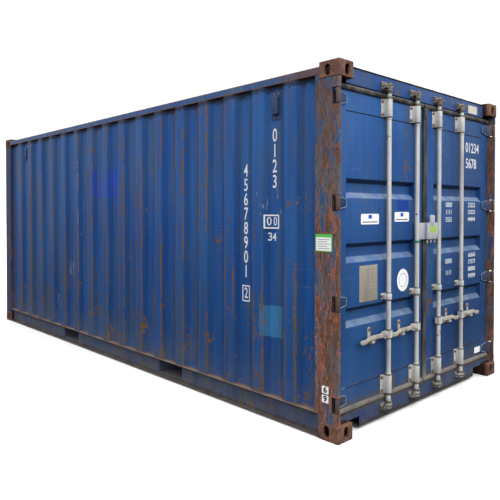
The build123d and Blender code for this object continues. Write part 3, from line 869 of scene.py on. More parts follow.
@dataclass(frozen=True)
class OldRubber(Finish):
    """Door seal rubber, greyed and dusty."""

    name: str
    dark: Colour
    grey: Colour
    dust: Colour
    dust_share: float

    def wire(self, graph: Graph) -> Surface:
        """Mottled grey with dust on its upper side.

        Args:
            graph: Its graph.

        Returns:
            What the shader takes.
        """
        broad = graph.here().drawn(0.3).noise(12.0, 5.0, 0.6)
        colour = graph.mix(broad.step(0.35, 0.68), self.dark, self.grey)
        dust = graph.mask(SettledDust, upward=self.dust_share, splash=0.85, splash_top=0.45, seed=2.0)
        grain = graph.here().noise(190.0, 4.0, 0.6)
        colour = graph.mix(dust, colour, self.dust)
        return Surface(colour, 0.62 + dust * 0.3, grain, depth=0.0006, strength=0.6)


@dataclass(frozen=True)
class DeckWood(Finish):
    """Plywood deck with grain along the container and dark stains."""

    name: str
    dark: Colour
    light: Colour

    def wire(self, graph: Graph) -> Surface:
        """Long grain and stains.

        Args:
            graph: Its graph.

        Returns:
            What the shader takes.
        """
        place = graph.here()
        grain = place.times((0.06, 1.0, 1.0)).noise(70.0, 5.0, 0.65)
        stain = place.noise(2.2, 5.0, 0.6)
        colour = graph.mix(grain.step(0.3, 0.7), self.dark, self.light)
        colour = graph.mix(stain.step(0.5, 0.75) * 0.5, colour, DECK_STAIN)
        return Surface(colour, 0.6 + stain * 0.3, grain, depth=0.0015, strength=0.6)


@dataclass(frozen=True)
class WeatheredFilm(Finish):
    """Sticker film, paint marks and plates: one colour that is scuffed and dirty."""

    name: str
    colour: Colour
    dirt: Colour
    wear: float
    roughness: float
    metal: float = 0.0
    grain: float = 40.0

    def wire(self, graph: Graph) -> Surface:
        """Scuffs and grime over one colour.

        Args:
            graph: Its graph.

        Returns:
            What the shader takes.
        """
        runs = graph.mask(RunMarks, fineness=30.0, stretch=0.12, seed=1.0, level=0.62, soft=0.16)
        scuff = graph.here().noise(self.grain, 6.0, 0.7).step(0.52, 0.72)
        colour = graph.mix(runs.most(scuff) * self.wear, self.colour, self.dirt)
        rough = self.roughness + scuff * 0.3
        return Surface(colour, rough, scuff, depth=0.0004, strength=0.5, metallic=self.metal)


class Along(Enum):
    """The axis that a form is carried along, with the plane that its outline lies in."""

    X = 0
    Y = 1
    Z = 2

    def place(self, first: float, second: float, along: float) -> Vector:
        """A point from its two outline values, in axis order, and its place along the axis."""
        flat = (first, second)
        return Vector((*flat[:self.value], along, *flat[self.value:]))


def new_object(name: str, data: bpy.types.ID) -> Thing:
    """Puts a mesh, curve, light or camera into the scene.

    Args:
        name: The object's name.
        data: What it holds.

    Returns:
        The object.
    """
    made = bpy.data.objects.new(name, data)
    bpy.context.scene.collection.objects.link(made)
    return made


def finished(name: str, work: bmesh.types.BMesh, finish: Finish) -> Thing:
    """Ends a mesh as an object, smooth except at its sharp edges.

    Args:
        name: The object's name.
        work: The mesh, which is used up.
        finish: Its finish.

    Returns:
        The object.
    """
    mesh = bpy.data.meshes.new(name)
    work.to_mesh(mesh)
    work.free()
    mesh.materials.clear()
    mesh.materials.append(finish.material())
    mesh.shade_smooth()
    mesh.set_sharp_from_angle(angle=SMOOTH_BELOW)
    return new_object(name, mesh)


def bevelled(work: bmesh.types.BMesh, width: float, above: float) -> None:
    """Rounds the sharp closed edges of a mesh.

    Args:
        work: The mesh.
        width: Width of the rounding.
        above: Angle above which an edge is sharp.
    """
    closed = [edge for edge in work.edges if edge.is_manifold]
    sharp = [edge for edge in closed if edge.calc_face_angle(0.0) > above]
    rounding = {"segments": 2, "profile": 0.5, "affect": "EDGES", "clamp_overlap": True}
    bmesh.ops.bevel(work, geom=sharp, offset=width, **rounding)


def arc(middle: Pair, reach: Pair, start: float, stop: float, steps: int) -> list[Pair]:
    """Points along a part of an ellipse.

    Args:
        middle: Its middle.
        reach: Its half widths.
        start: First angle in degrees.
        stop: Last angle in degrees.
        steps: Points, less one.

    Returns:
        The points, both ends included.
    """
    turns = [math.radians(start + (stop - start) * number / steps) for number in range(steps + 1)]
    return [(middle[0] + reach[0] * math.cos(turn), middle[1] + reach[1] * math.sin(turn)) for turn in turns]


def rounded(low: Pair, high: Pair, radius: float) -> list[Pair]:
    """Outline of a rectangle with round corners.

    Args:
        low: Lowest corner.
        high: Highest corner.
        radius: Corner radius.

    Returns:
        The outline, counter-clockwise.
    """
    west, south, east, north = low[0] + radius, low[1] + radius, high[0] - radius, high[1] - radius
    outline: list[Pair] = []
    for number, middle in enumerate(((east, north), (west, north), (west, south), (east, south))):
        outline += arc(middle, (radius, radius), 90.0 * number, 90.0 * number + 90.0, 4)
    return outline


class Shape:
    """A mesh in the making, collected from closed forms."""

    def __init__(self) -> None:
        """Starts empty."""
        self.whole = bmesh.new()

    def take(self, mesh: bpy.types.Mesh) -> Shape:
        """Adds a mesh.

        Args:
            mesh: The mesh, which is used up.

        Returns:
            This shape.
        """
        self.whole.from_mesh(mesh)
        bpy.data.meshes.remove(mesh)
        return self

    def _form(self, rings: list[list[Vector]], closed: bool = False, bevel: float = 0.0) -> Shape:
        """Adds a form that joins rings of points one after the other.

        Args:
            rings: Rings with the same number of points.
            closed: Whether the last ring joins the first; otherwise both ends get a face.
            bevel: Width of the rounding of its edges.

        Returns:
            This shape.
        """
        part = bmesh.new()
        loops = [[part.verts.new(point) for point in ring] for ring in rings]
        for before, after in zip(loops, loops[1:] + loops[:1] if closed else loops[1:]):
            for number in range(len(before)):
                part.faces.new((before[number - 1], before[number], after[number], after[number - 1]))
        if not closed:
            part.faces.new(loops[0])
            part.faces.new(loops[-1])
        bmesh.ops.recalc_face_normals(part, faces=part.faces[:])
        if bevel > 0.0:
            bevelled(part, bevel, SHARP_FORM)
        scratch = bpy.data.meshes.new("form")
        part.to_mesh(scratch)
        part.free()
        return self.take(scratch)

    def prism(
        self, outline: list[Pair], along: Along, start: float, stop: float, bevel: float = 0.0
    ) -> Shape:
        """Carries an outline along an axis.

        Args:
            outline: Corners in the axis's plane.
            along: The axis.
            start: Where the form starts on it.
            stop: Where it stops.
            bevel: Width of the rounding of its edges.

        Returns:
            This shape.
        """
        rings = [[along.place(u, v, end) for u, v in outline] for end in (start, stop)]
        return self._form(rings, bevel=bevel)

    def block(self, low: Point, high: Point, bevel: float = 0.0) -> Shape:
        """Adds a box between two corners, with its edges rounded where bevel says so."""
        outline = [(low[0], low[1]), (high[0], low[1]), (high[0], high[1]), (low[0], high[1])]
        return self.prism(outline, Along.Z, low[2], high[2], bevel)

    def lathe(
        self, profile: list[Pair], centre: Pair, along: Along, steps: int, closed: bool = False
    ) -> Shape:
        """Turns a profile round an axis.

        Args:
            profile: Radius and place along the axis, from one end to the other.
            centre: Where the axis passes through its plane.
            along: The axis.
            steps: Faces round it.
            closed: Whether the profile is a loop, as a ring's is.

        Returns:
            This shape.
        """
        rings = [
            [along.place(u, v, place) for u, v in arc(centre, (radius, radius), 0.0, 360.0, steps)[:-1]]
            for radius, place in profile
        ]
        return self._form(rings, closed)

    def made(self, name: str, finish: Finish) -> Thing:
        """Ends the shape as an object with its finish."""
        return finished(name, self.whole, finish)


class Lettering(Shape):
    """Plain digits painted on a face, drawn in a plane of their own."""

    LIFT: ClassVar[float] = 0.0007
    HALF_COAT: ClassVar[float] = 0.0003

    def __init__(self, face: Matrix) -> None:
        """Takes the way from the letters' own plane to the model's frame."""
        super().__init__()
        self.face = face

    def put(
        self, text: str, place: Pair, size: float, wide: float = 1.0, bold: float = 0.009
    ) -> None:
        """Puts a row of digits with its middle at a place.

        Args:
            text: Digits.
            place: Middle of the row on the face.
            size: Font size.
            wide: Width factor.
            bold: How far the strokes swell, as a share of the size.
        """
        curve = bpy.data.curves.new("digits", "FONT")
        curve.body, curve.size = text, size
        curve.extrude, curve.offset = self.HALF_COAT, bold * size
        curve.align_x = curve.align_y = "CENTER"
        curve.resolution_u = 5
        holder = new_object("digits", curve)
        graph = bpy.context.evaluated_depsgraph_get()
        mesh = bpy.data.meshes.new_from_object(holder.evaluated_get(graph))
        bpy.data.objects.remove(holder)
        bpy.data.curves.remove(curve)
        mesh.transform(Matrix.Translation((*place, self.LIFT)) @ Matrix.Diagonal((wide, 1.0, 1.0, 1.0)))
        self.take(mesh)

    def frame_line(self, low: Pair, high: Pair, line: float) -> None:
        """Puts a painted rectangle of thin lines round a place.

        Args:
            low: Lowest corner on the face.
            high: Highest corner on the face.
            line: Width of the lines.
        """
        inner_low, inner_high = low[1] + line, high[1] - line
        under, over = self.LIFT - self.HALF_COAT, self.LIFT + self.HALF_COAT
        for v0, v1 in ((low[1], inner_low), (inner_high, high[1])):
            self.block((low[0], v0, under), (high[0], v1, over))
        for u0, u1 in ((low[0], low[0] + line), (high[0] - line, high[0])):
            self.block((u0, inner_low, under), (u1, inner_high, over))

    def made(self, name: str, finish: Finish) -> Thing:
        """Ends the lettering as an object on its face.

        Args:
            name: The object's name.
            finish: Its finish.

        Returns:
            The object.
        """
        bmesh.ops.remove_doubles(self.whole, verts=self.whole.verts[:], dist=1e-6)
        self.whole.transform(self.face)
        return super().made(name, finish)


def left_face(out: float) -> Matrix:
    """Frame of the long side that the camera sees: letters run along +X and look to -Y."""
    return Matrix(((1, 0, 0, 0), (0, 0, -1, -out), (0, 1, 0, 0), (0, 0, 0, 1)))


def door_face(out: float) -> Matrix:
    """Frame of the door end: letters run along +Y and look to +X."""
    return Matrix(((0, 0, 1, out), (1, 0, 0, 0), (0, 1, 0, 0), (0, 0, 0, 1)))


def lay_on(piece: Thing, target: Thing, outward: Vector, plane: float) -> None:
    """Lays a flat piece onto a surface that isn't quite flat.

    Args:
        piece: The piece, drawn on a plane.
        target: What carries it.
        outward: From the surface to the viewer, along one axis.
        plane: Where the drawn plane lies along that direction.
    """
    mesh = target.data
    tree = BVHTree.FromPolygons([v.co for v in mesh.vertices], [p.vertices for p in mesh.polygons])
    for vertex in piece.data.vertices:
        hit = tree.ray_cast(vertex.co + outward * 0.2, -outward, 0.4)[0]
        if hit is not None:
            vertex.co = hit + outward * (vertex.co.dot(outward) - plane)


def settle(piece: Thing, body: str, slot: str, *stands_for: str) -> Thing:
    """Lets a piece ride on its body and hides the nodes that it stands for.

    Args:
        piece: The piece, in place.
        body: The body that it moves with.
        slot: The record's material slot; not used.
        *stands_for: Nodes that it hides.

    Returns:
        The piece.
    """
    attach(piece, body)
    if stands_for:
        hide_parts(*stands_for)
    LOG.info("%s rides on %s with %d faces", piece.name, body, len(piece.data.polygons))
    return piece


def softened(frame: dict, node: str, finish: Finish, width: float) -> Thing:
    """Copies a node's mesh and rounds its sharp edges.

    Args:
        node: The node to copy.
        finish: The copy's finish.
        width: Width of the rounding.

    Returns:
        The copy.
    """
    work = bmesh.new()
    work.from_mesh(frame["nodes"][node].data)
    bmesh.ops.remove_doubles(work, verts=work.verts[:], dist=SAME_POINT)
    bmesh.ops.dissolve_limit(work, angle_limit=FLAT_BELOW, verts=work.verts[:], edges=work.edges[:])
    bevelled(work, width, SHARP_NODE)
    return finished(f"{node}_soft", work, finish)


class NodeTool:
    """A Geometry Nodes tree with named inputs, run on a carrier mesh and kept as a plain mesh."""

    KINDS: ClassVar[dict[type, str]] = {
        float: "NodeSocketFloat", int: "NodeSocketInt", tuple: "NodeSocketVector",
    }

    def __init__(self, name: str, inputs: dict[str, object]) -> None:
        """Starts the tree with its sockets.

        Args:
            name: The tree's name.
            inputs: Input names with their defaults.
        """
        self.tree = bpy.data.node_groups.new(name, "GeometryNodeTree")
        new_socket = self.tree.interface.new_socket
        for way in ("INPUT", "OUTPUT"):
            new_socket("Geometry", in_out=way, socket_type="NodeSocketGeometry")
        self.keys: dict[str, str] = {}
        for label, default in {**inputs, "Finish": None}.items():
            kind = self.KINDS.get(type(default), "NodeSocketMaterial")
            socket = new_socket(label, in_out="INPUT", socket_type=kind)
            if default is not None:
                socket.default_value = default
            self.keys[label] = socket.identifier
        self.graph = Graph(self.tree)

    def close(self, geometry: Wire) -> NodeTool:
        """Ends the tree in real geometry with its finish.

        Args:
            geometry: What the tree has made.

        Returns:
            This tool.
        """
        real = self.graph.take("GeometryNodeRealizeInstances", {0: geometry})
        feeds = {"Geometry": real, "Material": self.graph["Finish"]}
        self.graph.add("NodeGroupOutput", {0: self.graph.take("GeometryNodeSetMaterial", feeds)})
        return self

    def run(self, name: str, finish: Finish, *lines: Iterable[Point], **values: object) -> Thing:
        """Runs the tree on lines of points and keeps its result.

        Args:
            name: The new object's name.
            finish: Finish of the result.
            *lines: Points to work on; those of one line are joined by edges.
            **values: Inputs by name, with spaces as underscores.

        Returns:
            An object with a plain mesh and no modifier.
        """
        points: list[Point] = []
        edges: list[tuple[int, int]] = []
        for line in lines:
            first = len(points)
            points += [tuple(point) for point in line]
            edges += [(number, number + 1) for number in range(first, len(points) - 1)]
        carrier = bpy.data.meshes.new("carrier")
        carrier.from_pydata(points, edges, [])
        holder = new_object(name, carrier)
        modifier = holder.modifiers.new("tool", "NODES")
        modifier.node_group = self.tree
        modifier[self.keys["Finish"]] = finish.material()
        for key, value in values.items():
            modifier[self.keys[key.replace("_", " ").capitalize()]] = value
        graph = bpy.context.evaluated_depsgraph_get()
        mesh = bpy.data.meshes.new_from_object(holder.evaluated_get(graph))
        holder.modifiers.remove(modifier)
        holder.data = mesh
        mesh.name = name
        bpy.data.meshes.remove(carrier)
        return holder


class Tools:
    """The Geometry Nodes trees of this object, each built once."""

    def __init__(self) -> None:
        """Builds every tree."""
        self.bolts = self._bolts()
        self.domes = self._domes()
        self.beads = self._beads()
        self.sheet = self._sheet()

    @staticmethod
    def _scatter(tool: NodeTool, head: Wire) -> NodeTool:
        """Ends a tree with a head on every point, turned to the face and spun at random.

        Args:
            tool: The tree.
            head: The head's geometry, standing on Z.

        Returns:
            The tree.
        """
        graph = tool.graph
        turn = graph.take("FunctionNodeEulerToRotation", {0: graph["Turn"]})
        chance = {"Max": 2 * math.pi, "Seed": graph["Seed"]}
        angle = graph.take("FunctionNodeRandomValue", chance, 1, data_type="FLOAT")
        spin = graph.take("FunctionNodeAxisAngleToRotation", {0: (0.0, 0.0, 1.0), 1: angle})
        both = graph.take("FunctionNodeRotateRotation", {0: turn, 1: spin}, rotation_space="LOCAL")
        placed = {"Points": graph["Geometry"], "Instance": head, "Rotation": both}
        return tool.close(graph.take("GeometryNodeInstanceOnPoints", placed))

    @staticmethod
    def _drum(graph: Graph, radius: Value, depth: Value, sides: int, lift: Value) -> Wire:
        """A short cylinder lifted along Z.

        Args:
            graph: Its tree's graph.
            radius: Its radius.
            depth: Its height.
            sides: Faces round it.
            lift: Height of its middle.

        Returns:
            The geometry.
        """
        drum = graph.take("GeometryNodeMeshCylinder", {"Vertices": sides, "Radius": radius, "Depth": depth})
        feeds = {"Geometry": drum, "Translation": graph.combine(0.0, 0.0, lift)}
        return graph.take("GeometryNodeTransform", feeds)

    def _bolts(self) -> NodeTool:
        """Hexagon bolts with a washer and a stud end.

        Returns:
            The tree.
        """
        tool = NodeTool("hex_bolts", {"Radius": 0.011, "Height": 0.009, "Turn": Facing.UP.value, "Seed": 3})
        graph = tool.graph
        radius, height = graph["Radius"], graph["Height"]
        thin = height * 0.25
        parts = [
            self._drum(graph, radius * 1.4, thin, 14, thin * 0.5),
            self._drum(graph, radius, height, 6, height * 0.5),
            self._drum(graph, radius * 0.55, height, 8, height * 0.85),
        ]
        return self._scatter(tool, graph.take("GeometryNodeJoinGeometry", {0: parts}))

    def _domes(self) -> NodeTool:
        """Round rivet or screw heads.

        Returns:
            The tree.
        """
        tool = NodeTool("dome_heads", {"Radius": 0.006, "Height": 0.003, "Turn": Facing.UP.value, "Seed": 5})
        graph = tool.graph
        radius, height = graph["Radius"], graph["Height"]
        ball = graph.take("GeometryNodeMeshUVSphere", {"Segments": 10, "Rings": 6, "Radius": 1.0})
        feeds = {"Geometry": ball, "Scale": graph.combine(radius, radius, height)}
        return self._scatter(tool, graph.take("GeometryNodeTransform", feeds))

    def _beads(self) -> NodeTool:
        """Weld beads along lines, uneven as hand welds are.

        Returns:
            The tree.
        """
        tool = NodeTool("weld_beads", {"Radius": 0.004, "Ripple": 0.02, "Unevenness": 0.35})
        graph = tool.graph
        path = graph.take("GeometryNodeMeshToCurve", {0: graph["Geometry"]})
        ripples = {"Curve": path, "Length": graph["Ripple"]}
        even = graph.take("GeometryNodeResampleCurve", ripples, mode="LENGTH")
        lumps = graph.take("GeometryNodeInputPosition").noise(37.0, 2.0, 0.6)
        share = 1.0 + (lumps - 0.5) * graph["Unevenness"] * 2.0
        section = graph.take("GeometryNodeCurvePrimitiveCircle", {"Resolution": 6, "Radius": 1.0})
        feeds = {"Curve": even, "Profile Curve": section, "Scale": share * graph["Radius"]}
        tube = graph.take("GeometryNodeCurveToMesh", {**feeds, "Fill Caps": True})
        return tool.close(graph.take("GeometryNodeSetShadeSmooth", {"Geometry": tube}))

    def _sheet(self) -> NodeTool:
        """Sheet folded along lines in the XY plane, raised along Z, with round bends and shallow dents.

        Returns:
            The tree.
        """
        sizes = {"Bend radius": 0.012, "Bend steps": 4, "Height": 1.0, "Rows": 16}
        tool = NodeTool("folded_sheet", {**sizes, "Thickness": -0.002, "Dent": 0.003, "Seed": 0.0})
        graph = tool.graph
        path = graph.take("GeometryNodeMeshToCurve", {0: graph["Geometry"]})
        bends = {"Curve": path, "Count": graph["Bend steps"], "Radius": graph["Bend radius"]}
        bent = graph.take("GeometryNodeFilletCurve", {**bends, "Limit Radius": True}, mode="POLY")
        upright = graph.take("GeometryNodeSetCurveNormal", {"Curve": bent}, mode="Z_UP")
        end = graph.combine(0.0, graph["Height"] * -1.0, 0.0)
        line = graph.take("GeometryNodeCurvePrimitiveLine", {"End": end})
        rows = graph.take("GeometryNodeResampleCurve", {"Curve": line, "Count": graph["Rows"]}, mode="COUNT")
        raised = graph.take("GeometryNodeCurveToMesh", {"Curve": upright, "Profile Curve": rows})
        place = graph.take("GeometryNodeInputPosition")
        wide = place.moved(graph["Seed"]).noise(1.1, 3.0, 0.5)
        share = place.axis("Z") / graph["Height"]
        held = share * (1.0 - share) * 8.0
        depth = (wide - 0.5) * graph["Dent"] * held
        normal = graph.take("GeometryNodeInputNormal")
        push = normal.times(graph.combine(depth, depth, 0.0))
        dented = graph.take("GeometryNodeSetPosition", {"Geometry": raised, "Offset": push})
        walls = {"Mesh": dented, "Offset Scale": graph["Thickness"], "Individual": False}
        thick = graph.take("GeometryNodeExtrudeMesh", walls, mode="FACES")
        back = graph.take("GeometryNodeFlipFaces", {"Mesh": dented})
        both = graph.take("GeometryNodeJoinGeometry", {0: [thick, back]})
        return tool.close(graph.take("GeometryNodeMergeByDistance", {"Geometry": both, "Distance": 1e-5}))

    def fold(
        self, name: str, lines: list[list[Pair]], finish: Finish, matrix: Matrix, **values: object
    ) -> Thing:
        """Makes folded sheets from plan lines and puts them in place.

        Args:
            name: The new object's name.
            lines: Plan lines of the sheets' outer faces, in the sheet's own XY plane.
            finish: Their finish.
            matrix: From the sheet's own frame to the model's.
            **values: Sizes of the sheet tree.

        Returns:
            The sheets as one object.
        """
        plans = [[(first, second, 0.0) for first, second in line] for line in lines]
        raw = self.sheet.run(f"{name}_raw", finish, *plans, **values)
        work = bmesh.new()
        work.from_mesh(raw.data)
        bpy.data.meshes.remove(raw.data)
        work.transform(matrix)
        bmesh.ops.recalc_face_normals(work, faces=work.faces[:])
        return finished(name, work, finish)


class Palette:
    """Every finish of the container."""

    side = WornPaint(
        "side_paint", srgb(8, 74, 150), srgb(50, 102, 158), 0.34, 44.0, 0.35, 0.61,
        seed=1.0, grime=0.36, wash=0.22, low_rust=0.10, low_rust_top=1.1, folds=WALL_FOLDS,
        # The first strip is rust along the bottom; the second is painted shadow under the overhanging top
        # rail.
        strips=(Strip("Z", 0.176, 0.012, RUST_EDGE, 0.8), Strip("Z", 2.503, 0.05, srgb(24, 30, 46), 0.75)),
        repaints=(
            Repaint((2.26, 2.49), (0.615, 0.858), srgb(58, 136, 196), 0.9, 0.02, 0.24),
            Repaint((-0.43, 0.15), (1.72, 2.00), srgb(8, 66, 196), 0.92, 0.14, 0.42),
            Repaint((2.20, 2.52), (1.55, 1.78), srgb(190, 204, 226), 0.5, 0.2, 0.6),
            Repaint((-1.06, -0.93), (0.80, 0.98), srgb(158, 162, 164), 0.8, 0.14, 0.52),
            Repaint((-0.785, -0.764), (0.85, 2.15), srgb(156, 130, 92), 0.75, 0.012, 0.44),
            Repaint((-1.40, -1.26), (0.43, 0.53), srgb(150, 152, 152), 0.7, 0.14, 0.54),
            Repaint((-0.60, -0.42), (0.40, 0.445), srgb(140, 100, 54), 0.8, 0.03, 0.4),
        ),
    )
    end = WornPaint("end_paint", srgb(20, 72, 146), srgb(74, 102, 150), 0.4, 34.0, 0.36, 0.64, seed=4.0)
    roof = WornPaint("roof_paint", srgb(34, 74, 134), srgb(84, 106, 142), 0.5, 22.0, 0.42, 0.66, seed=6.0)
    door = WornPaint(
        "door_skin_paint", srgb(22, 72, 138), srgb(50, 100, 160), 0.45, 40.0, 0.32, 0.70,
        # The pale blue-grey on faces that look up is dust and a painted highlight on the lower slopes of the
        # sunk bands; faces that look down get painted shade.
        dust=srgb(146, 164, 188), upward_dust=0.72, seed=9.0, grime=0.3, low_shade=0.62, upright_runs=0.12,
        sheltered=0.72, scratches=0.22, low_rust=0.2, low_rust_top=0.55,
        strips=(
            Strip("Z", 0.335, 0.006, srgb(150, 160, 180), 0.5),
            Strip("Z", 0.20, 0.04, srgb(96, 80, 54), 0.5),
            Strip("Y", 0.75, 0.62, srgb(34, 62, 108), 0.58),
        ),
    )
    header = WornPaint(
        "header_paint", srgb(26, 66, 126), srgb(60, 92, 144), 0.4, 34.0, 0.32, 0.68, seed=27.0,
        # The dark strip along the top is a painted shadow line under the roof edge.
        upright_runs=0.15, strips=(Strip("Z", 2.580, 0.014, srgb(34, 32, 34), 0.95),),
    )
    sill = WornPaint(
        "sill_paint", srgb(30, 62, 116), srgb(66, 88, 128), 0.4, 30.0, 0.38, 0.66, seed=29.0,
        upright_runs=0.15,
        strips=(
            Strip("Z", 0.02, 0.045, srgb(58, 48, 44), 0.9), Strip("Z", 0.155, 0.014, srgb(70, 62, 58), 0.7),
        ),
    )
    beam = WornPaint(
        "beam_paint", srgb(34, 74, 136), srgb(76, 102, 144), 0.4, 34.0, 0.34, 0.66, seed=12.0,
        strips=(
            Strip("Z", 2.506, 0.008, RUST_EDGE, 0.75), Strip("Z", 2.563, 0.010, RUST_EDGE, 0.75),
            Strip("X", 2.85, 0.42, KNUCKLE_RUST, 0.8),
        ),
    )
    base = WornPaint(
        "base_rail_paint", srgb(40, 66, 116), srgb(84, 98, 126), 0.42, 30.0, 0.4, 0.62,
        splash=0.22, seed=15.0,
        strips=(
            # The first strip is rust along the top flange's edge and also a painted highlight where it
            # catches the light.
            Strip("Z", 0.176, 0.016, srgb(150, 128, 108), 0.85),
            Strip("Z", 0.0125, 0.026, srgb(54, 44, 40), 0.95),
            Strip("Z", 0.150, 0.012, srgb(60, 56, 60), 0.6),
        ),
    )
    post = PeeledPaint(
        "post_skin", srgb(40, 80, 126), srgb(200, 116, 72), srgb(98, 70, 56), srgb(88, 91, 98), 0.515
    )
    end_post = PeeledPaint(
        "end_post_skin", srgb(32, 56, 100), srgb(128, 90, 60), srgb(84, 70, 62), srgb(56, 66, 90), 0.6, 30.0
    )
    casting = RustedCasting(
        "casting_rust", srgb(80, 60, 53), srgb(120, 86, 72), srgb(164, 118, 92),
        hollows=(("X", 2.996, 3.010), ("Y", 1.198, 1.209)),
    )
    zinc = DullZinc(
        "dull_zinc", srgb(214, 213, 208), srgb(146, 146, 144),
        dirty_heights=(
            (0.105, 0.05), (2.5, 0.05), (0.197, 0.012), (0.343, 0.008), (2.267, 0.008), (2.413, 0.012),
            (0.618, 0.007), (0.682, 0.007), (0.902, 0.006), (0.958, 0.006),
        ),
    )
    forged = DullZinc(
        "forged_zinc", srgb(170, 168, 164), srgb(90, 85, 80), 0.46, 0.2, 0.6, 8.0,
        dirty_heights=(
            (0.085, 0.009), (0.106, 0.007), (0.140, 0.010), (2.464, 0.010), (2.498, 0.007), (2.52, 0.009),
        ),
    )
    handle = DullZinc("pale_steel", srgb(196, 190, 180), srgb(116, 108, 98), 0.4, 0.12, 0.5, 3.0)
    rubber = OldRubber("seal_rubber", srgb(48, 47, 48), srgb(90, 87, 86), srgb(156, 148, 138), 0.45)
    wood = DeckWood("deck_wood", srgb(104, 78, 52), srgb(150, 118, 84))
    rusty_bolt = RustedCasting("rusty_bolt", srgb(104, 82, 66), srgb(140, 110, 88), srgb(186, 160, 132))
    vent = WornPaint("vent_paint", srgb(26, 50, 96), srgb(52, 72, 110), 0.4, 20.0, 0.3, 0.66, seed=21.0)
    blade = WornPaint(
        "blade_paint", srgb(26, 52, 96), srgb(66, 86, 120), 0.4, 24.0, 0.34, 0.66, seed=23.0,
        strips=tuple(Strip("Y", y, 0.042, KNUCKLE_RUST, 0.85) for y in (-1.2, 1.2)),
    )
    lock_box = DullZinc("lock_box_zinc", srgb(188, 190, 200), srgb(146, 150, 164), 0.3, 0.15, 0.5, 6.0)
    # Dark beads that stand in as painted shadow lines at the door panel edges and under the roof edge.
    seam = WeatheredFilm("dark_seam", srgb(40, 44, 54), srgb(74, 60, 50), 0.5, 0.7)
    white_mark = WeatheredFilm("white_mark", srgb(226, 228, 230), srgb(120, 132, 156), 0.35, 0.5)
    white_film = WeatheredFilm("white_film", srgb(244, 245, 246), srgb(176, 176, 176), 0.16, 0.4)
    ink_film = WeatheredFilm("blue_film", srgb(26, 84, 190), srgb(50, 84, 146), 0.35, 0.4)
    deep_film = WeatheredFilm("deep_film", srgb(8, 58, 146), srgb(30, 70, 140), 0.4, 0.45)
    green_film = WeatheredFilm("green_film", srgb(92, 190, 84), srgb(120, 140, 110), 0.25, 0.35)
    lime_film = WeatheredFilm("lime_film", srgb(156, 190, 92), srgb(164, 166, 150), 0.6, 0.55, 0.0, 90.0)
    grey_film = WeatheredFilm("grey_film", srgb(66, 70, 80), srgb(110, 100, 92), 0.4, 0.45)
    plate = WeatheredFilm("plate_metal", srgb(156, 151, 140), srgb(110, 104, 94), 0.5, 0.5, 0.2)
    plate_line = WeatheredFilm("plate_lines", srgb(140, 137, 130), srgb(110, 104, 98), 0.4, 0.5, 0.2)
    pale_line = WeatheredFilm("pale_line", srgb(140, 142, 150), srgb(170, 170, 170), 0.3, 0.5)
    black_mark = WeatheredFilm("black_mark", srgb(30, 30, 32), srgb(70, 66, 62), 0.3, 0.5)
    weld = WeatheredFilm("rusty_weld", srgb(92, 80, 76), srgb(126, 90, 66), 0.6, 0.75)
    pale_film = WeatheredFilm("pale_film", srgb(206, 200, 186), srgb(150, 138, 120), 0.4, 0.5)
    rim = WeatheredFilm("worn_rim", srgb(120, 136, 164), srgb(84, 76, 72), 0.45, 0.5)
    tie = WeatheredFilm("tie_green", srgb(24, 112, 84), srgb(50, 72, 60), 0.3, 0.5)
    ground = WeatheredFilm("pale_ground", srgb(252, 252, 252), srgb(248, 248, 248), 1.0, 0.9, 0.0, 0.6)

    BY_SLOT: ClassVar[dict[str, Finish]] = {
        "blue_paint": beam, "door_paint": door, "post_paint": post, "base_paint": base,
        "casting_steel": casting, "zinc_steel": zinc, "handle_steel": handle, "gasket_rubber": rubber,
        "floor_wood": wood,
    }
    BY_NODE: ClassVar[dict[str, Finish]] = {
        "roof": roof, "end_posts": end_post, "door_header": header, "door_sill": sill,
    }


def corrugated(
    span: Pair, middles: Iterable[float], half: float, slope: float, trough: float, crest: float
) -> list[Pair]:
    """Plan line of a corrugated sheet.

    Args:
        span: Where the sheet starts and ends.
        middles: Middles of its crests.
        half: Half a crest's width.
        slope: Width of a slope.
        trough: Where the troughs lie across the sheet.
        crest: Where the crests lie across the sheet.

    Returns:
        Places along and across the sheet.
    """
    line = [(span[0], trough)]
    for middle in middles:
        line += [(middle - half - slope, trough), (middle - half, crest)]
        line += [(middle + half, crest), (middle + half + slope, trough)]
    return [*line, (span[1], trough)]


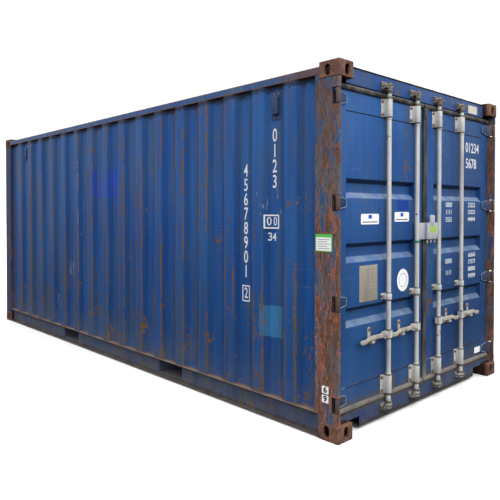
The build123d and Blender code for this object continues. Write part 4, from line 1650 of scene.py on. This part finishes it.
@dataclass
class SideWalls:
    """Both corrugated long sides with their vents and painted digits."""

    tools: Tools
    folds: Folds = WALL_FOLDS
    crests: int = 16
    slope: float = 0.066
    depth: float = 0.036
    bend: float = 0.016
    digit: float = 0.139
    vent_width: float = 0.087
    vent_base: float = 0.024
    hood_inset: tuple[float, ...] = (0.012, 0.040, 0.030)
    vent_rivet: tuple[float, ...] = (0.020, 0.018, 0.014)

    def outline(self, side: Side) -> list[Pair]:
        """Plan line of one wall's outer face, run so that outward is on the same hand.

        Args:
            side: Which wall.

        Returns:
            The line.
        """
        low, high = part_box("side_walls")
        folds, crest = self.folds, high.y
        middles = [folds.first + number * folds.pitch for number in range(self.crests)]
        line = corrugated((low.x, high.x), middles, folds.half_crest, self.slope, crest - self.depth, crest)
        placed = [(x, side.value * y) for x, y in line]
        return placed if side is Side.LEFT else placed[::-1]

    def build(self) -> Thing:
        """Folds both walls.

        Returns:
            The walls.
        """
        low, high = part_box("side_walls")
        walls = self.tools.fold(
            "side_wall_skins", [self.outline(side) for side in Side], Palette.side,
            Matrix.Translation((0.0, 0.0, low.z)), height=high.z - low.z, bend_radius=self.bend, rows=22,
            dent=0.005, seed=3.0,
        )
        return settle(walls, FRAME_BODY, "blue_paint", "side_walls")

    def dress(self, walls: Thing) -> None:
        """Adds vents, digits and the weld lines.

        Args:
            walls: The folded walls.
        """
        self._vents()
        self._digits(walls)
        low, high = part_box("side_walls")
        lines = [
            [(x, y + side.value * 0.001, z) for x, y in self.outline(side)]
            for side in Side for z in (low.z + 0.001, high.z - 0.001)
        ]
        welds = self.tools.beads.run(
            "wall_welds", Palette.weld, *lines, radius=0.0035, ripple=0.03, unevenness=0.5
        )
        settle(welds, FRAME_BODY, "blue_paint")

    def _vents(self) -> None:
        """A flat flange with a pressed hood and rivets, at both ends of both sides."""
        low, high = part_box("side_vents")
        shape, width = Shape(), self.vent_width
        aside, foot, head = self.hood_inset
        for side in Side:
            base = side.value * (high.y - self.vent_base)
            for x0 in (low.x, high.x - width):
                x1 = x0 + width
                flange = rounded((x0, low.z), (x1, high.z), 0.006)
                shape.prism(flange, Along.Y, base - side.value * 0.001, base + side.value * 0.004, 0.001)
                hood = rounded((x0 + aside, low.z + foot), (x1 - aside, high.z - head), 0.012)
                shape.prism(hood, Along.Y, base, side.value * high.y, 0.006)
        settle(shape.made("vent_hoods", Palette.vent), FRAME_BODY, "blue_paint", "side_vents")
        aside, foot, head = self.vent_rivet
        across = (low.x + aside, low.x + width - aside, high.x - width + aside, high.x - aside)
        for side in Side:
            face = side.value * (high.y - self.vent_base + 0.0038)
            points = [(x, face, z) for x in across for z in (low.z + foot, high.z - head)]
            rivets = self.tools.domes.run(
                f"vent_rivets_{side.word}", Palette.zinc, points, radius=0.006, height=0.004,
                turn=Facing[side.name].value,
            )
            settle(rivets, FRAME_BODY, "blue_paint")

    def _digits(self, walls: Thing) -> None:
        """Two columns of plain digits in the troughs beside the door end.

        Args:
            walls: The folded walls, which carry them.
        """
        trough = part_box("side_walls")[1].y - self.depth
        marks = Lettering(left_face(trough))
        for text, x, top, pitch in (("0123", 2.390, 2.135, 0.116), ("45678901", 2.070, 1.886, 0.114)):
            for number, digit in enumerate(text):
                marks.put(digit, (x, top - number * pitch), self.digit, 0.72)
        marks.put("2", (2.070, 0.915), self.digit * 0.85, 0.72)
        marks.put("0 0", (2.368, 1.49), self.digit * 0.66, 0.8)
        marks.put("34", (2.368, 1.372), self.digit * 0.62, 0.95)
        marks.frame_line((2.027, 0.851), (2.113, 0.980), 0.009)
        marks.frame_line((2.300, 1.437), (2.436, 1.543), 0.011)
        digits = marks.made("side_digits", Palette.white_mark)
        lay_on(digits, walls, Vector((0.0, -1.0, 0.0)), trough)
        settle(digits, FRAME_BODY, "blue_paint")


@dataclass
class EndWall:
    """The corrugated closed end."""

    tools: Tools
    crests: int = 7
    pitches_across: float = 7.716
    crest_share: float = 0.333
    slope_share: float = 0.167
    depth: float = 0.045
    bend: float = 0.018

    def build(self) -> None:
        """Folds the end wall."""
        low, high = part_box("end_wall")
        pitch = (high.y - low.y) / self.pitches_across
        middles = [(number - (self.crests - 1) / 2) * pitch for number in range(self.crests)]
        half, slope = self.crest_share * pitch / 2, self.slope_share * pitch
        line = corrugated((low.y, high.y), middles, half, slope, low.x + self.depth, low.x)
        wall = self.tools.fold(
            "end_wall_skin", [[(x, y) for y, x in line][::-1]], Palette.end,
            Matrix.Translation((0.0, 0.0, low.z)), height=high.z - low.z, bend_radius=self.bend, rows=20,
            dent=0.004, seed=9.0,
        )
        settle(wall, FRAME_BODY, "blue_paint", "end_wall")


@dataclass
class DoorLeaf:
    """One door leaf: folded skin, seal lips, softened fittings, bolts and rims."""

    frame: dict
    tools: Tools
    side: Side
    bars: Pair = BARS[2:]
    hinges: tuple[float, ...] = (0.255, 0.9405, 1.626, 2.345)
    blade: tuple[Pair, Pair] = ((1.158, 0.0465), (1.053, 0.0265))
    bracket_heights: Pair = (0.27, 2.34)
    bracket_bolt: Pair = (0.037, 0.048)
    guide_bolt: Pair = (0.0335, 0.930)
    catch_out: float = 0.200
    catch_heights: Pair = (0.704, 0.603)
    seal_edge: float = 1.168
    lip: Pair = (0.0100, 0.0182)
    band_shares: tuple[float, ...] = (0.25, 0.485, 0.721)
    band_height: float = 0.136
    upper_slope: float = 0.028
    lower_slope: float = 0.040
    band_depth: float = 0.037
    bend: float = 0.010

    @property
    def face(self) -> float:
        """The leaf's front face."""
        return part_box(self.node("leaf_frame"))[1].x

    def node(self, rest: str) -> str:
        """A name on this leaf."""
        return f"{self.side.word}_{rest}"

    def settle(self, piece: Thing, slot: str, *stands_for: str) -> Thing:
        """Settles a piece on this leaf."""
        return settle(piece, self.side.body, slot, *stands_for)

    def build(self) -> Thing:
        """Folds the skin with its three sunk bands and softens the fittings.

        Returns:
            The skin, which carries marks.
        """
        low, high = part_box(self.node("leaf_panel"))
        face, sunk = high.x, high.x - self.band_depth
        line = [(low.z, face)]
        for share in self.band_shares:
            bottom = low.z + share * (high.z - low.z) - self.band_height / 2
            top = bottom + self.band_height
            line += [(bottom, face), (bottom + self.lower_slope, sunk)]
            line += [(top - self.upper_slope, sunk), (top, face)]
        skin = self.tools.fold(
            self.node("leaf_skin"), [[*line, (high.z, face)]], Palette.door,
            Matrix(((0, 1, 0, 0), (0, 0, 1, low.y), (1, 0, 0, 0), (0, 0, 0, 1))), height=high.y - low.y,
            bend_radius=self.bend, rows=12, dent=0.0015, seed=5.0 + self.side.value,
        )
        for rest, slot, finish, width in (
            ("bar_brackets", "zinc_steel", Palette.zinc, 0.0022),
            ("handle_catches", "handle_steel", Palette.handle, 0.0018),
            ("lock_box", "zinc_steel", Palette.lock_box, 0.005),
            ("hinge_blades", "door_paint", Palette.blade, 0.003),
        ):
            self.settle(softened(self.frame, self.node(rest), finish, width), slot, self.node(rest))
        return self.settle(skin, "door_paint", self.node("leaf_panel"))

    def dress(self) -> None:
        """Adds bolts, seal lips, dark seam beads as painted shadow lines, and worn rims."""
        self._bolts()
        self._seal_lips()
        low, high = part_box(self.node("leaf_panel"))
        # Dark beads along the panel's top and bottom edges: painted shadow lines in the gaps.
        seams = [[(high.x, low.y, z), (high.x, high.y, z)] for z in (low.z, high.z)]
        beads = self.tools.beads
        piece = beads.run(
            self.node("leaf_seams"), Palette.seam, *seams, radius=0.0042, ripple=0.03, unevenness=0.5
        )
        self.settle(piece, "door_paint")
        front, sign = self.face + 0.0095, self.side.value
        corners = [*self.blade, *((y, -up) for y, up in reversed(self.blade))]
        rims = [[(front, sign * y, z + up) for y, up in corners] for z in self.hinges]
        piece = beads.run(
            self.node("blade_rims"), Palette.rim, *rims, radius=0.0036, ripple=0.012, unevenness=0.3
        )
        self.settle(piece, "door_paint")

    def _bolts(self) -> None:
        """Hexagon bolts on brackets, guides and catches."""
        points: list[Point] = []
        front, sign = self.face + 0.0058, self.side.value
        (across, up), (guide, level) = self.bracket_bolt, self.guide_bolt
        for bar in self.bars:
            y = sign * bar
            for z, dz in itertools.product(self.bracket_heights, (-up, up)):
                points += [(front, y + dy, z + dz) for dy in (-across, across)]
            points += [(front, y + dy, level) for dy in (-guide, guide)]
            points += [(front + 0.002, y + sign * self.catch_out, z) for z in self.catch_heights]
        bolts = self.tools.bolts.run(
            self.node("bolts"), Palette.rusty_bolt, points, radius=0.0095, height=0.007,
            turn=Facing.DOORS.value, seed=11 + sign,
        )
        self.settle(bolts, "zinc_steel")

    def _seal_lips(self) -> None:
        """Soft rolls along the top and bottom edges of the seal, with a flare over the seam."""
        low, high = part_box(self.node("leaf_gasket"))
        back = high.x - 0.002
        inner = low.y + 0.002 if self.side is Side.RIGHT else high.y - 0.002
        lips = Shape()
        for middle in (low.z + 0.0195, high.z - 0.0195):
            outline = arc((back, middle), self.lip, -90.0, 90.0, 8)
            lips.prism(outline, Along.Y, *sorted((inner, self.side.value * self.seal_edge)))
        if self.side is Side.RIGHT:
            flare = [(inner, 2.434), (0.082, 2.434), (0.060, 2.412), (0.034, 2.385), (0.024, 2.330)]
            flare.append((inner, 2.330))
            lips.prism(flare, Along.X, back - 0.004, back + 0.007, 0.003)
        self.settle(lips.made(self.node("seal_lips"), Palette.rubber), "gasket_rubber")


@dataclass(frozen=True)
class Film:
    """A film with round corners on a leaf, or on another film where its layer is 2."""

    name: str
    side: Side
    low: Pair
    high: Pair
    radius: float
    finish: Finish
    layer: int = 1


@dataclass
class DoorMarks:
    """Plate, stickers and plain digits on the doors, all bare or generic."""

    tools: Tools
    skins: dict[Side, Thing]
    face: float = 2.955
    thick: float = 0.0008
    films: tuple[Film, ...] = (
        Film("sticker_outer", Side.LEFT, (-0.869, 1.473), (-0.645, 1.550), 0.012, Palette.white_film),
        Film("sticker_outer_block", Side.LEFT, (-0.778, 1.515), (-0.736, 1.543), 0.003, Palette.ink_film, 2),
        Film("sticker_outer_line", Side.LEFT, (-0.850, 1.487), (-0.664, 1.494), 0.002, Palette.grey_film, 2),
        Film("sticker_inner", Side.LEFT, (-0.434, 1.488), (-0.227, 1.563), 0.012, Palette.white_film),
        Film("sticker_inner_block", Side.LEFT, (-0.350, 1.529), (-0.311, 1.556), 0.003, Palette.ink_film, 2),
        Film("sticker_inner_line", Side.LEFT, (-0.416, 1.501), (-0.245, 1.508), 0.002, Palette.grey_film, 2),
        Film("sticker_patch", Side.LEFT, (-0.392, 1.579), (-0.244, 1.652), 0.006, Palette.deep_film),
        Film("sticker_low", Side.RIGHT, (0.932, 0.228), (1.056, 0.282), 0.004, Palette.white_film),
    )
    plate: tuple[Pair, Pair] = ((-0.888, 0.912), (-0.663, 1.176))
    plate_thick: float = 0.0022
    ruling_rows: int = 9
    ruling_pitch: float = 0.0245
    ruling_inset: Pair = (0.022, 0.035)
    ruling_line: float = 0.0035
    ruling_column: float = -0.79
    rivet_inset: float = 0.01
    round_middle: Pair = (-0.313, 1.028)
    round_half: Pair = (0.082, 0.088)
    ring_radius: float = 0.052
    ring_half: float = 0.0016
    heads: tuple[tuple[str, Pair], ...] = (("01234", (0.865, 2.150)), ("5678", (0.840, 2.005)))
    head_digit: float = 0.125
    row_digit: float = 0.058
    rows: tuple[tuple[str, float, float], ...] = (
        ("0000", 0.425, 1.625), ("1111", 0.425, 1.560), ("22222", 0.855, 1.625), ("33333", 0.855, 1.560),
        ("44444", 0.855, 1.495), ("5555", 0.425, 1.495), ("66666", 0.865, 1.165), ("77777", 0.865, 1.100),
        ("88888", 0.865, 1.035), ("99999", 0.865, 0.970), ("0000", 0.425, 1.130), ("1111", 0.425, 1.030),
    )

    def lay(self, piece: Thing, side: Side, slot: str = "door_paint") -> None:
        """Lays a mark, drawn on the leaf's plane, onto its leaf's skin and settles it."""
        lay_on(piece, self.skins[side], Vector((1.0, 0.0, 0.0)), self.face)
        settle(piece, side.body, slot)

    def build(self) -> None:
        """Puts every mark on its leaf."""
        self._plate()
        face, thick = self.face, self.thick
        for film in self.films:
            outline = rounded(film.low, film.high, film.radius)
            under = face + (film.layer - 1) * thick
            shape = Shape().prism(outline, Along.X, under, under + thick)
            self.lay(shape.made(film.name, film.finish), film.side)
        outline = arc(self.round_middle, self.round_half, 0.0, 360.0, 48)[:-1]
        shape = Shape().prism(outline, Along.X, face, face + thick)
        self.lay(shape.made("round_film", Palette.white_film), Side.LEFT)
        section = arc((self.ring_radius, face + thick), (self.ring_half,) * 2, 0.0, 360.0, 8)[:-1]
        ring = Shape().lathe(section, self.round_middle, Along.X, 40, True)
        self.lay(ring.made("round_film_ring", Palette.ink_film), Side.LEFT)
        marks = Lettering(door_face(face))
        for text, place in self.heads:
            marks.put(text, place, self.head_digit, 0.86)
        for text, y, z in self.rows:
            marks.put(text, (y, z), self.row_digit)
        self.lay(marks.made("door_digits", Palette.white_mark), Side.RIGHT)

    def _plate(self) -> None:
        """The metal data plate with plain ruling and rivets."""
        low, high = self.plate
        face = self.face
        shape = Shape().prism(rounded(low, high, 0.01), Along.X, face, face + self.plate_thick, 0.0006)
        self.lay(shape.made("data_plate", Palette.plate), Side.LEFT, "zinc_steel")
        under, over = face + 0.0018, face + 0.0028
        (aside, foot), line, column = self.ruling_inset, self.ruling_line, self.ruling_column
        lines = Shape()
        for number in range(self.ruling_rows):
            z = low[1] + foot + number * self.ruling_pitch
            lines.block((under, low[0] + aside, z), (over, high[0] - aside, z + line))
        lines.block((under, column, low[1] + foot), (over, column + line, high[1] - 0.03))
        self.lay(lines.made("data_plate_ruling", Palette.plate_line), Side.LEFT, "zinc_steel")
        inset = self.rivet_inset
        corners = itertools.product((low[0] + inset, high[0] - inset), (low[1] + inset, high[1] - inset))
        points = [(face + 0.002, y, z) for y, z in corners]
        rivets = self.tools.domes.run(
            "data_plate_rivets", Palette.zinc, points, radius=0.005, height=0.003, turn=Facing.DOORS.value
        )
        self.lay(rivets, Side.LEFT, "zinc_steel")


@dataclass
class LockBars:
    """The four lock bars with their cam forgings, and their handles."""

    frame: dict
    tools: Tools
    axis_x: float = 2.997
    radius: float = 0.0172
    places: tuple[float, ...] = BARS
    cam_profile: tuple[Pair, ...] = (
        (0.0150, -0.0195), (0.0235, -0.018), (0.0258, -0.012), (0.0258, -0.007), (0.0225, -0.004),
        (0.0225, 0.004), (0.0258, 0.008), (0.0258, 0.014), (0.0230, 0.018), (0.0225, 0.030),
        (0.0240, 0.034), (0.0240, 0.042), (0.0205, 0.047), (0.0182, 0.056),
    )
    pivot: Pair = (0.056, 0.65)
    tie_height: float = 1.330
    hole_height: float = 1.545
    hole_turn: float = -72.0

    def build(self) -> None:
        """Adds the rolled collars of the cams, softens the handles and adds their pivots."""
        for number, y in enumerate(self.places, start=1):
            bar, handle = f"bar_{number}", f"handle_{number}"
            heads = Shape()
            for z, way in zip(CAM_HEIGHTS, (1.0, -1.0)):
                profile = [(radius, z + way * along) for radius, along in self.cam_profile]
                heads.lathe(profile, (self.axis_x, y), Along.Z, 28)
            settle(heads.made(f"{bar}_cam_heads", Palette.forged), bar, "zinc_steel")
            soft = softened(self.frame, handle, Palette.handle, 0.0018)
            settle(soft, f"{handle}_body", "handle_steel", handle)
            place = (self.axis_x + 0.0225, y + math.copysign(self.pivot[0], y), self.pivot[1])
            bolt = self.tools.bolts.run(
                f"{handle}_pivot", Palette.handle, [place], radius=0.0105, height=0.006,
                turn=Facing.DOORS.value, seed=number,
            )
            settle(bolt, bar, "zinc_steel")
        self._tie()

    def _tie(self) -> None:
        """A dark green tie left on the second bar, and the small hole above it."""
        y = self.places[1]
        section = arc((self.radius + 0.005, self.tie_height), (0.0056, 0.0062), 0.0, 360.0, 8)[:-1]
        ring = Shape().lathe(section, (self.axis_x, y), Along.Z, 28, True)
        settle(ring.made("bar_2_tie", Palette.tie), "bar_2", "gasket_rubber")
        way, radius = math.radians(self.hole_turn), self.radius
        place = (self.axis_x + radius * math.cos(way), y + radius * math.sin(way), self.hole_height)
        # A flat black dome stands for the hole; its black is painted shade inside the hole.
        hole = self.tools.domes.run(
            "bar_2_hole", Palette.black_mark, [place], radius=0.0075, height=0.0014,
            turn=(0.0, math.pi / 2, way),
        )
        settle(hole, "bar_2", "zinc_steel")


@dataclass
class DoorEnd:
    """Keepers, label and small marks on the door end's fixed frame."""

    tools: Tools
    header_label: tuple[Pair, Pair] = ((0.766, 2.472), (0.944, 2.544))
    square_digits: tuple[tuple[str, Pair], ...] = (("6", (2.914, 0.348)), ("9", (2.914, 0.286)))

    def build(self) -> None:
        """Forges the keepers and adds the marks."""
        keepers = Shape()
        for y, z in itertools.product(BARS, CAM_HEIGHTS):
            self._keeper(keepers, y, z)
        settle(keepers.made("cam_keepers_forged", Palette.forged), FRAME_BODY, "zinc_steel", "cam_keepers")
        self._post_marks()
        low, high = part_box("door_header")
        label = Shape().prism(rounded(*self.header_label, 0.005), Along.X, high.x, high.x + 0.0008)
        settle(label.made("header_label", Palette.pale_film), FRAME_BODY, "blue_paint")
        # A dark bead along the header's top edge: a painted shadow line under the roof edge.
        line = [(high.x + 0.001, y, high.z - 0.003) for y in (low.y + 0.005, high.y - 0.005)]
        bead = self.tools.beads.run(
            "header_seal", Palette.seam, line, radius=0.005, ripple=0.06, unevenness=0.6
        )
        settle(bead, FRAME_BODY, "blue_paint")

    @staticmethod
    def _keeper(keepers: Shape, y: float, z: float) -> None:
        """One keeper: a welded plate with a round ear and a hooked ear.

        Args:
            keepers: The shape to add to.
            y: The bar's place.
            z: The cam's height.
        """
        back, front = (corner.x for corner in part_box("cam_keepers"))
        side = math.copysign(1.0, y)
        inner, outer = sorted((y + side * 0.063, y - side * 0.042))
        plate = rounded((inner, z - 0.033), (outer, z + 0.033), 0.010)
        keepers.prism(plate, Along.X, back, back + 0.008, 0.002)
        ear = [(back, -0.031), (back + 0.018, -0.026), (front - 0.012, -0.016), (front - 0.003, -0.006)]
        ear += [(front - 0.003, 0.006), (front - 0.012, 0.016), (back + 0.018, 0.024), (back, 0.031)]
        hook = [(back, -0.031), (back + 0.024, -0.027), (front - 0.010, -0.020), (front, -0.009)]
        hook += [(front - 0.003, 0.006), (front - 0.012, 0.012), (front - 0.017, 0.004)]
        hook += [(back + 0.020, 0.010), (back + 0.012, 0.026), (back, 0.031)]
        for outline, near, far in ((ear, -0.032, -0.0425), (hook, 0.053, 0.0635)):
            placed = [(x, z + up) for x, up in outline]
            keepers.prism(placed, Along.Y, *sorted((y + side * near, y + side * far)), 0.003)

    def _post_marks(self) -> None:
        """A bare label and two bare squares on the near post."""
        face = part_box("door_posts")[0].y
        films = (
            ("post_label", Palette.green_film, 0.0, 0.0008,
             [rounded((2.824, 1.293), (2.971, 1.412), 0.006)]),
            ("post_label_field", Palette.white_film, 0.0006, 0.0016,
             [rounded((2.832, 1.299), (2.963, 1.390), 0.004)]),
            ("post_squares", Palette.white_film, 0.0, 0.0008,
             [rounded((2.885, z), (2.943, z + 0.052), 0.003) for z in (0.322, 0.260)]),
            ("post_label_rows", Palette.pale_line, 0.0014, 0.0022,
             [rounded((2.845, 1.312 + n * 0.0155), (2.95 - 0.02 * (n % 2), 1.3165 + n * 0.0155), 0.001)
              for n in range(5)]),
        )
        for name, finish, under, over, outlines in films:
            shape = Shape()
            for outline in outlines:
                shape.prism(outline, Along.Y, face - over, face - under)
            settle(shape.made(name, finish), FRAME_BODY, "post_paint")
        marks = Lettering(left_face(-face + 0.0008))
        for digit, place in self.square_digits:
            marks.put(digit, place, 0.056, 1.1, 0.03)
        settle(marks.made("post_square_digits", Palette.black_mark), FRAME_BODY, "post_paint")


@dataclass
class LockFittings:
    """The label, rivets, studs and tab of the lock box."""

    tools: Tools
    label: tuple[Pair, Pair] = ((0.006, 1.392), (0.118, 1.450))
    rivets: tuple[Pair, ...] = ((0.020, 1.462), (0.128, 1.462), (0.128, 1.356))
    studs: tuple[float, ...] = (0.000, 0.056, 0.118)
    tab: tuple[Pair, Pair] = ((0.021, 1.450), (0.089, 1.539))
    tab_thick: float = 0.014

    def build(self) -> None:
        """Adds the fittings to the right leaf's box."""
        low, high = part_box("right_lock_box")
        front = high.x
        label = Shape().prism(rounded(*self.label, 0.005), Along.X, front - 0.0004, front + 0.0006)
        points = [(front - 0.0005, y, z) for y, z in self.rivets]
        rivets = self.tools.domes.run(
            "lock_rivets", Palette.rusty_bolt, points, radius=0.006, height=0.0035, turn=Facing.DOORS.value
        )
        points = [(front - 0.020, y, low.z + 0.001) for y in self.studs]
        studs = self.tools.bolts.run(
            "lock_bolts", Palette.lock_box, points, radius=0.0095, height=0.026,
            turn=Facing.DOWN.value, seed=8,
        )
        over = front + 0.001
        tab = Shape().prism(rounded(*self.tab, 0.016), Along.X, over - self.tab_thick, over, 0.0025)
        made = (tab.made("lock_tab", Palette.lock_box), label.made("lock_label", Palette.lime_film))
        for piece in (*made, rivets, studs):
            settle(piece, Side.RIGHT.body, "zinc_steel")


@dataclass
class Deck:
    """Plywood sheets of the floor with their screws."""

    tools: Tools
    lengths: int = 3
    gap: float = 0.004
    screws: int = 7
    screw_inset: Pair = (0.03, 0.04)

    def build(self) -> None:
        """Lays the sheets in two staggered rows and screws them down."""
        low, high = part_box("floor")
        shape = Shape()
        screws: list[Point] = []
        inner, wide = self.gap / 2, (high.y - low.y) / 2
        first, aside = self.screw_inset
        for row in range(2):
            y0 = low.y + row * wide
            y1 = y0 + wide
            for x0, x1 in self._cuts(low.x, high.x, row):
                shape.block((x0 + inner, y0 + inner, low.z), (x1 - inner, y1 - inner, high.z), 0.0018)
                pitch = (x1 - x0 - 2 * first) / (self.screws - 1)
                places = [x0 + first + number * pitch for number in range(self.screws)]
                screws += [(x, y, high.z) for x in places for y in (y0 + aside, y1 - aside)]
        settle(shape.made("deck_sheets", Palette.wood), FRAME_BODY, "floor_wood", "floor")
        heads = self.tools.domes.run("deck_screws", Palette.rusty_bolt, screws, radius=0.0065, height=0.0011)
        settle(heads, FRAME_BODY, "floor_wood")

    def _cuts(self, start: float, stop: float, row: int) -> list[Pair]:
        """Where the sheets of one row begin and end.

        Args:
            start: The floor's far end.
            stop: The floor's door end.
            row: Row number; every other row starts with a half sheet.

        Returns:
            Start and end of each sheet.
        """
        whole = (stop - start) / self.lengths
        marks = [start + whole * (number + 0.5 * row) for number in range(self.lengths + 1)]
        edges = [start, *(mark for mark in marks if start + 0.05 < mark < stop - 0.05), stop]
        return list(zip(edges, edges[1:]))


@dataclass
class Studio:
    """Pale ground, soft light and the camera at the photograph's angle."""

    eye: Point = (5.343, -4.174, 1.568)
    yaw: float = 46.24
    pitch: float = 0.82
    roll: float = 0.04
    focal_share: float = 1.1178
    shift: Pair = (-0.017, -0.0614)
    ground_reach: float = 60.0
    ground_drop: float = 0.0006
    sky: float = 1.15
    below: float = 0.05
    zenith: float = 1.6
    lamp_place: Point = (8.5, -2.5, 7.0)
    lamp_target: Point = (1.5, 0.0, 1.2)
    lamp_side: float = 5.0
    lamp_power: float = 380.0

    def build(self) -> None:
        """Makes ground, sky, light and camera."""
        self._ground()
        self._sky()
        light = bpy.data.lights.new("key", "AREA")
        light.size, light.energy = self.lamp_side, self.lamp_power
        lamp = new_object("key", light)
        lamp.location = self.lamp_place
        way = Vector(self.lamp_target) - Vector(self.lamp_place)
        lamp.rotation_euler = way.to_track_quat("-Z", "Y").to_euler()
        self._camera()
        bpy.context.scene.view_settings.view_transform = "Standard"

    def _ground(self) -> None:
        """A wide plain floor that throws no light back."""
        reach = self.ground_reach
        square = ((-1, -1), (1, -1), (1, 1), (-1, 1))
        corners = [(x * reach, y * reach, -self.ground_drop) for x, y in square]
        mesh = bpy.data.meshes.new("ground")
        mesh.from_pydata(corners, [], [(0, 1, 2, 3)])
        mesh.materials.append(Palette.ground.material())
        ground = new_object("ground", mesh)
        ground.visible_diffuse = ground.visible_glossy = False

    def _sky(self) -> None:
        """White light from above the horizon and little from below it, as outdoors."""
        world = bpy.data.worlds.new("sky")
        world.use_nodes = True
        graph = Graph(world.node_tree)
        glow = world.node_tree.nodes["Background"]
        white = (1.0, 1.0, 1.0)
        height = graph.take("ShaderNodeTexCoord").axis("Z")
        sky = graph.mix(height.step(0.0, 0.9), white, (self.zenith,) * 3)
        light = graph.mix(height.step(-0.06, 0.0), (self.below,) * 3, sky)
        seen = graph.take("ShaderNodeLightPath", None, "Is Camera Ray")
        graph.feed(glow.inputs["Color"], graph.mix(seen, light, white))
        graph.feed(glow.inputs["Strength"], self.sky)
        bpy.context.scene.world = world

    def _camera(self) -> None:
        """The camera, from the angles that the photograph's corners gave."""
        yaw, pitch = math.radians(self.yaw), math.radians(self.pitch)
        back = Vector((math.sin(yaw) * math.cos(pitch), -math.cos(yaw) * math.cos(pitch), math.sin(pitch)))
        right = Vector((0.0, 0.0, 1.0)).cross(back).normalized()
        turned = Matrix((right, back.cross(right), back)).transposed()
        turned = turned @ Matrix.Rotation(math.radians(self.roll), 3, "Z")
        lens = bpy.data.cameras.new("view")
        lens.sensor_width = 36.0
        lens.lens = self.focal_share * lens.sensor_width
        lens.shift_x, lens.shift_y = self.shift
        lens.clip_end = 400.0
        camera = new_object("view", lens)
        camera.matrix_world = Matrix.Translation(self.eye) @ turned.to_4x4()
        bpy.context.scene.camera = camera


@dataclass
class Container:
    """The whole container: every node's finish and every sub-assembly."""

    frame: dict

    def build(self) -> None:
        """Dresses the nodes and builds the sub-assemblies."""
        for row in self.frame["record"]["subparts"]:
            finish = Palette.BY_NODE.get(row["node"], Palette.BY_SLOT[row["material_slot"]])
            for slot in self.frame["nodes"][row["node"]].material_slots:
                slot.material = finish.material()
        tools = Tools()
        walls = SideWalls(tools)
        walls.dress(walls.build())
        EndWall(tools).build()
        leaves = {side: DoorLeaf(self.frame, tools, side) for side in Side}
        skins = {side: leaf.build() for side, leaf in leaves.items()}
        for leaf in leaves.values():
            leaf.dress()
        DoorMarks(tools, skins).build()
        LockBars(self.frame, tools).build()
        LockFittings(tools).build()
        DoorEnd(tools).build()
        Deck(tools).build()


def main() -> None:
    """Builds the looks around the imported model."""
    logging.basicConfig(level=logging.INFO, format="%(name)s: %(message)s")
    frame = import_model()
    Studio().build()
    Container(frame).build()


if __name__ == "__main__":
    main()
